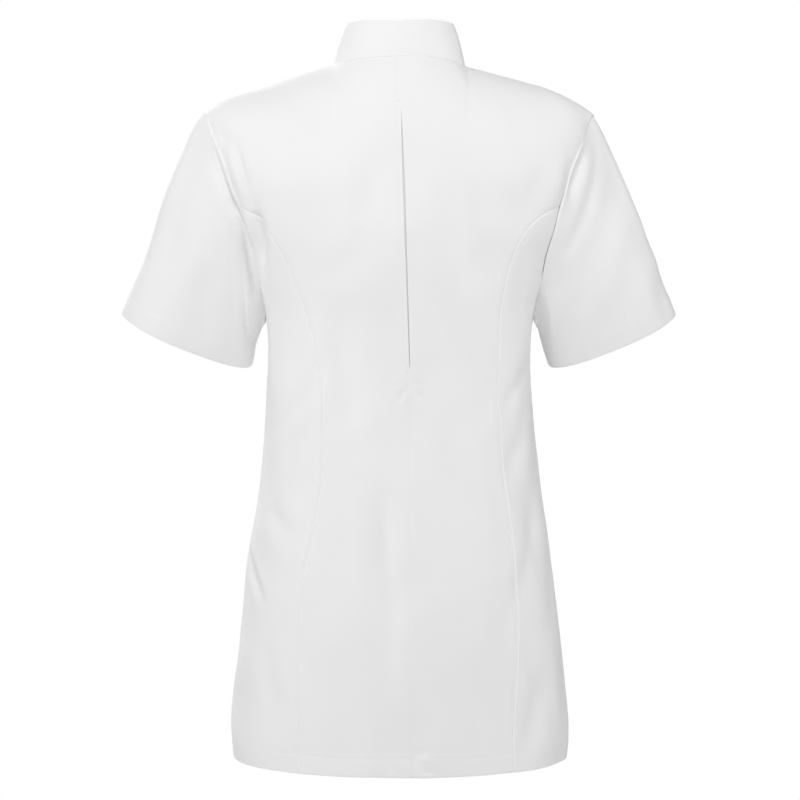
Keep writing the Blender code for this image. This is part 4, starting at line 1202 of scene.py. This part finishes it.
def build_underlay():
    """The cloth of the pleat just inside the slit."""
    seam = centre_back()
    line = seam[(seam[:, 1] > UNDERLAY_SPAN[0]) & (seam[:, 1] < UNDERLAY_SPAN[1])]
    lines = [np.stack([line[:, 0] + np.arctan2(x, section(line[:, 1], "back")), line[:, 1]], axis=-1)
             for x in np.linspace(-UNDERLAY_HALF, UNDERLAY_HALF, 9)]
    across, up = (np.linspace(0, 1, count) for count in UNDERLAY_POINTS)
    points, normals = surface(flat_grid(lines, across, up))
    outer = points + normals * (drift(points) - UNDERLAY_BEHIND)[..., None]
    sew("pleat_underlay", outer, normals, CLOTH, [])


def bar_tacks():
    """Short dense stitches side by side across both ends of the slit."""
    rows = []
    for height in (PLEAT_SLIT[0][0], PLEAT_SLIT[-1][0]):
        x = np.interp(height, *CENTRE_BACK.T) + np.linspace(-TACK_HALF, TACK_HALF, TACK_STITCHES)
        points, up = surface(place(x, np.full(TACK_STITCHES, height)))
        rows.append((points + up * (drift(points) - THREAD)[:, None], np.cross(up, SIDEWAYS), up))
    strands("bar_tacks", *(np.concatenate(part) for part in zip(*rows)), TACK_TALL, THREAD, arch=0.8)


def button_seat(number):
    """Centre, normal, sideways and up directions of a button's seat on the band."""
    centre, normal = surface(place(MIDDLE, BUTTON_TOP - number * BUTTON_STEP, back=False))
    centre = centre + normal * (BAND_LIFT + drift(centre))
    return centre, normal, np.array(SIDEWAYS), np.cross(normal, SIDEWAYS)


def button_profile(radius):
    """Height of the button's face: a rounded rim, a shallow dish inside it, and a flat middle."""
    rim = np.clip(1 - (BUTTON_RADIUS - radius) / BUTTON_RIM, 0, 1)
    fall = BUTTON_RIM * (1 - np.sqrt(1 - rim ** 2))
    return BUTTON_THICK - fall - DISH_DEPTH * inside(radius, DISH_RADIUS, DISH_SOFT)


def turned_button():
    """Points and faces of a button, turned about its axis: the profile over rings of points, closed at the
    back, with four sunk holes. The rings run from the middle of the face over the rim to the back's."""
    face = np.concatenate([np.linspace(0.0003, 0.0034, 16), np.linspace(0.0038, 0.0070, 12),
                           BUTTON_RADIUS - BUTTON_RIM * (1 - np.sin(np.linspace(0, pi / 2, 7)))])
    angle = np.linspace(0, 2 * pi, 56, endpoint=False)
    radius = np.concatenate([face, [back for back, _ in BUTTON_BACK]])[:, None]
    x, y = radius * np.cos(angle), radius * np.sin(angle)
    z = np.concatenate([button_profile(face), [height for _, height in BUTTON_BACK]])[:, None] + 0 * x
    for hole in pi / 4 + pi / 2 * np.arange(4):
        off = np.hypot(x - BUTTON_HOLE_AT * cos(hole), y - BUTTON_HOLE_AT * sin(hole))
        z[:len(face)] -= HOLE_DEPTH * inside(off, BUTTON_HOLE, HOLE_SOFT)[:len(face)]
    rows, cols = x.shape
    index = np.arange(rows * cols).reshape(rows, cols)
    body = squares(index, True)
    front = np.stack([np.full(cols, rows * cols), np.roll(index[0], -1), index[0]], axis=-1)
    rear = np.stack([np.full(cols, rows * cols + 1), index[-1], np.roll(index[-1], -1)], axis=-1)
    faces = np.concatenate([body[:, :3], body[:, (0, 2, 3)], front, rear])[:, ::-1]
    return np.concatenate([np.stack([x, y, z], axis=-1).reshape(-1, 3), [[0, 0, z[0, 0]], [0, 0, 0]]]), faces


def build_buttons():
    """The buttons on their seats, the threads that cross between their holes, and the buttonholes: two
    rows of close stitches with a bar of three at each end."""
    shape, faces = turned_button()
    ties, holes = [], []
    for number in range(BUTTON_COUNT):
        centre, normal, across, up = button_seat(number)
        seat = centre + normal * BUTTON_LIFT
        placed = seat + shape @ np.stack([across, up, normal])
        piece = new_piece(f"turned_button_{number + 1}", placed, faces, None, button_finish, "buttons")
        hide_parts(f"button_{number + 1}")
        for sign in (1, -1):
            height = BUTTON_THICK - DISH_DEPTH + TIE_LIFT * (sign + 1) / 2
            for shift in (-TIE_APART, TIE_APART):
                spot = seat + unit(across - sign * up) * shift + normal * height
                ties.append((spot, unit(across + sign * up), normal))
        for edge in (-HOLE_HALF, HOLE_HALF):
            holes += [(centre + up * BUTTONHOLE * share + across * edge + normal * ROW_LIFT, across, normal)
                      for share in np.linspace(-1, 1, HOLE_STITCHES)]
        for end in (-1, 1):
            holes += [(centre + up * end * (BUTTONHOLE + BAR_STEP * k) + normal * BAR_LIFT, across, normal)
                      for k in range(3)]
    for name, rows, sizes in (("button_threads", ties, TIE_THREAD), ("buttonholes", holes, HOLE_THREAD)):
        strands(name, *(np.array(part) for part in zip(*rows)), *sizes)


back_curves = body_curves(BACK_FOLDS, True)
build_panels(back_curves, body_curves(FRONT_FOLDS, False))
build_sleeve(1, "left", back_curves)
build_sleeve(-1, "right", back_curves)
build_collar()
build_band()
build_underlay()
bar_tacks()
build_buttons()


# ---- floor, light and camera ----
def build_stage():
    """A round pale floor and a white room. Soft round lights stand high over the back, by the camera, on
    both sides and before the front, all turned to the middle of the tunic."""
    made, _, tree, shader = new_material("matt_white_floor")
    feed(tree, shader, [("Base Color", linear("#F4F4F4")), ("Roughness", 0.9)])
    angle = np.linspace(0, 2 * pi, 96, endpoint=False)
    rim = np.stack([FLOOR_RADIUS * np.cos(angle), FLOOR_RADIUS * np.sin(angle), np.full(96, FLOOR)], axis=-1)
    mesh = bpy.data.meshes.new("floor")
    mesh.from_pydata(rim.tolist(), [], [list(range(96))])
    mesh.materials.append(made)
    floor = bpy.data.objects.new("floor", mesh)
    show(floor)

    world = bpy.data.worlds.new("white_room")
    bpy.context.scene.world = world
    world.use_nodes = True
    tree = world.node_tree
    seen = node(tree, "LightPath").outputs["Is Camera Ray"]
    strength = node(tree, "MapRange", [("Value", seen), ("To Min", ROOM_LIGHT), ("To Max", 1.0)])
    feed(tree, tree.nodes["Background"], [("Color", (1.0, 1.0, 1.0, 1.0)), ("Strength", strength)])

    for name, spot, size, power in LIGHTS:
        light = bpy.data.lights.new(name, "AREA")
        light.shape = "DISK"
        light.size = size
        light.energy = power
        lamp = bpy.data.objects.new(name, light)
        lamp.location = spot
        lamp.rotation_mode = "QUATERNION"
        lamp.rotation_quaternion = Vector(np.subtract(LIT, spot).tolist()).to_track_quat("-Z", "Y")
        lamp.visible_camera = False
        show(lamp)


def build_camera():
    """A camera at the photograph's place, level sideways and looking a little down at the back."""
    data = bpy.data.cameras.new("camera")
    data.lens = LENS
    data.sensor_width = 36.0
    camera = bpy.data.objects.new("camera", data)
    camera.location = CAMERA
    camera.rotation_euler = (radians(90 - PITCH), 0.0, pi)
    show(camera)
    bpy.context.scene.camera = camera


build_stage()
build_camera()
bpy.context.scene.view_settings.view_transform = "Standard"
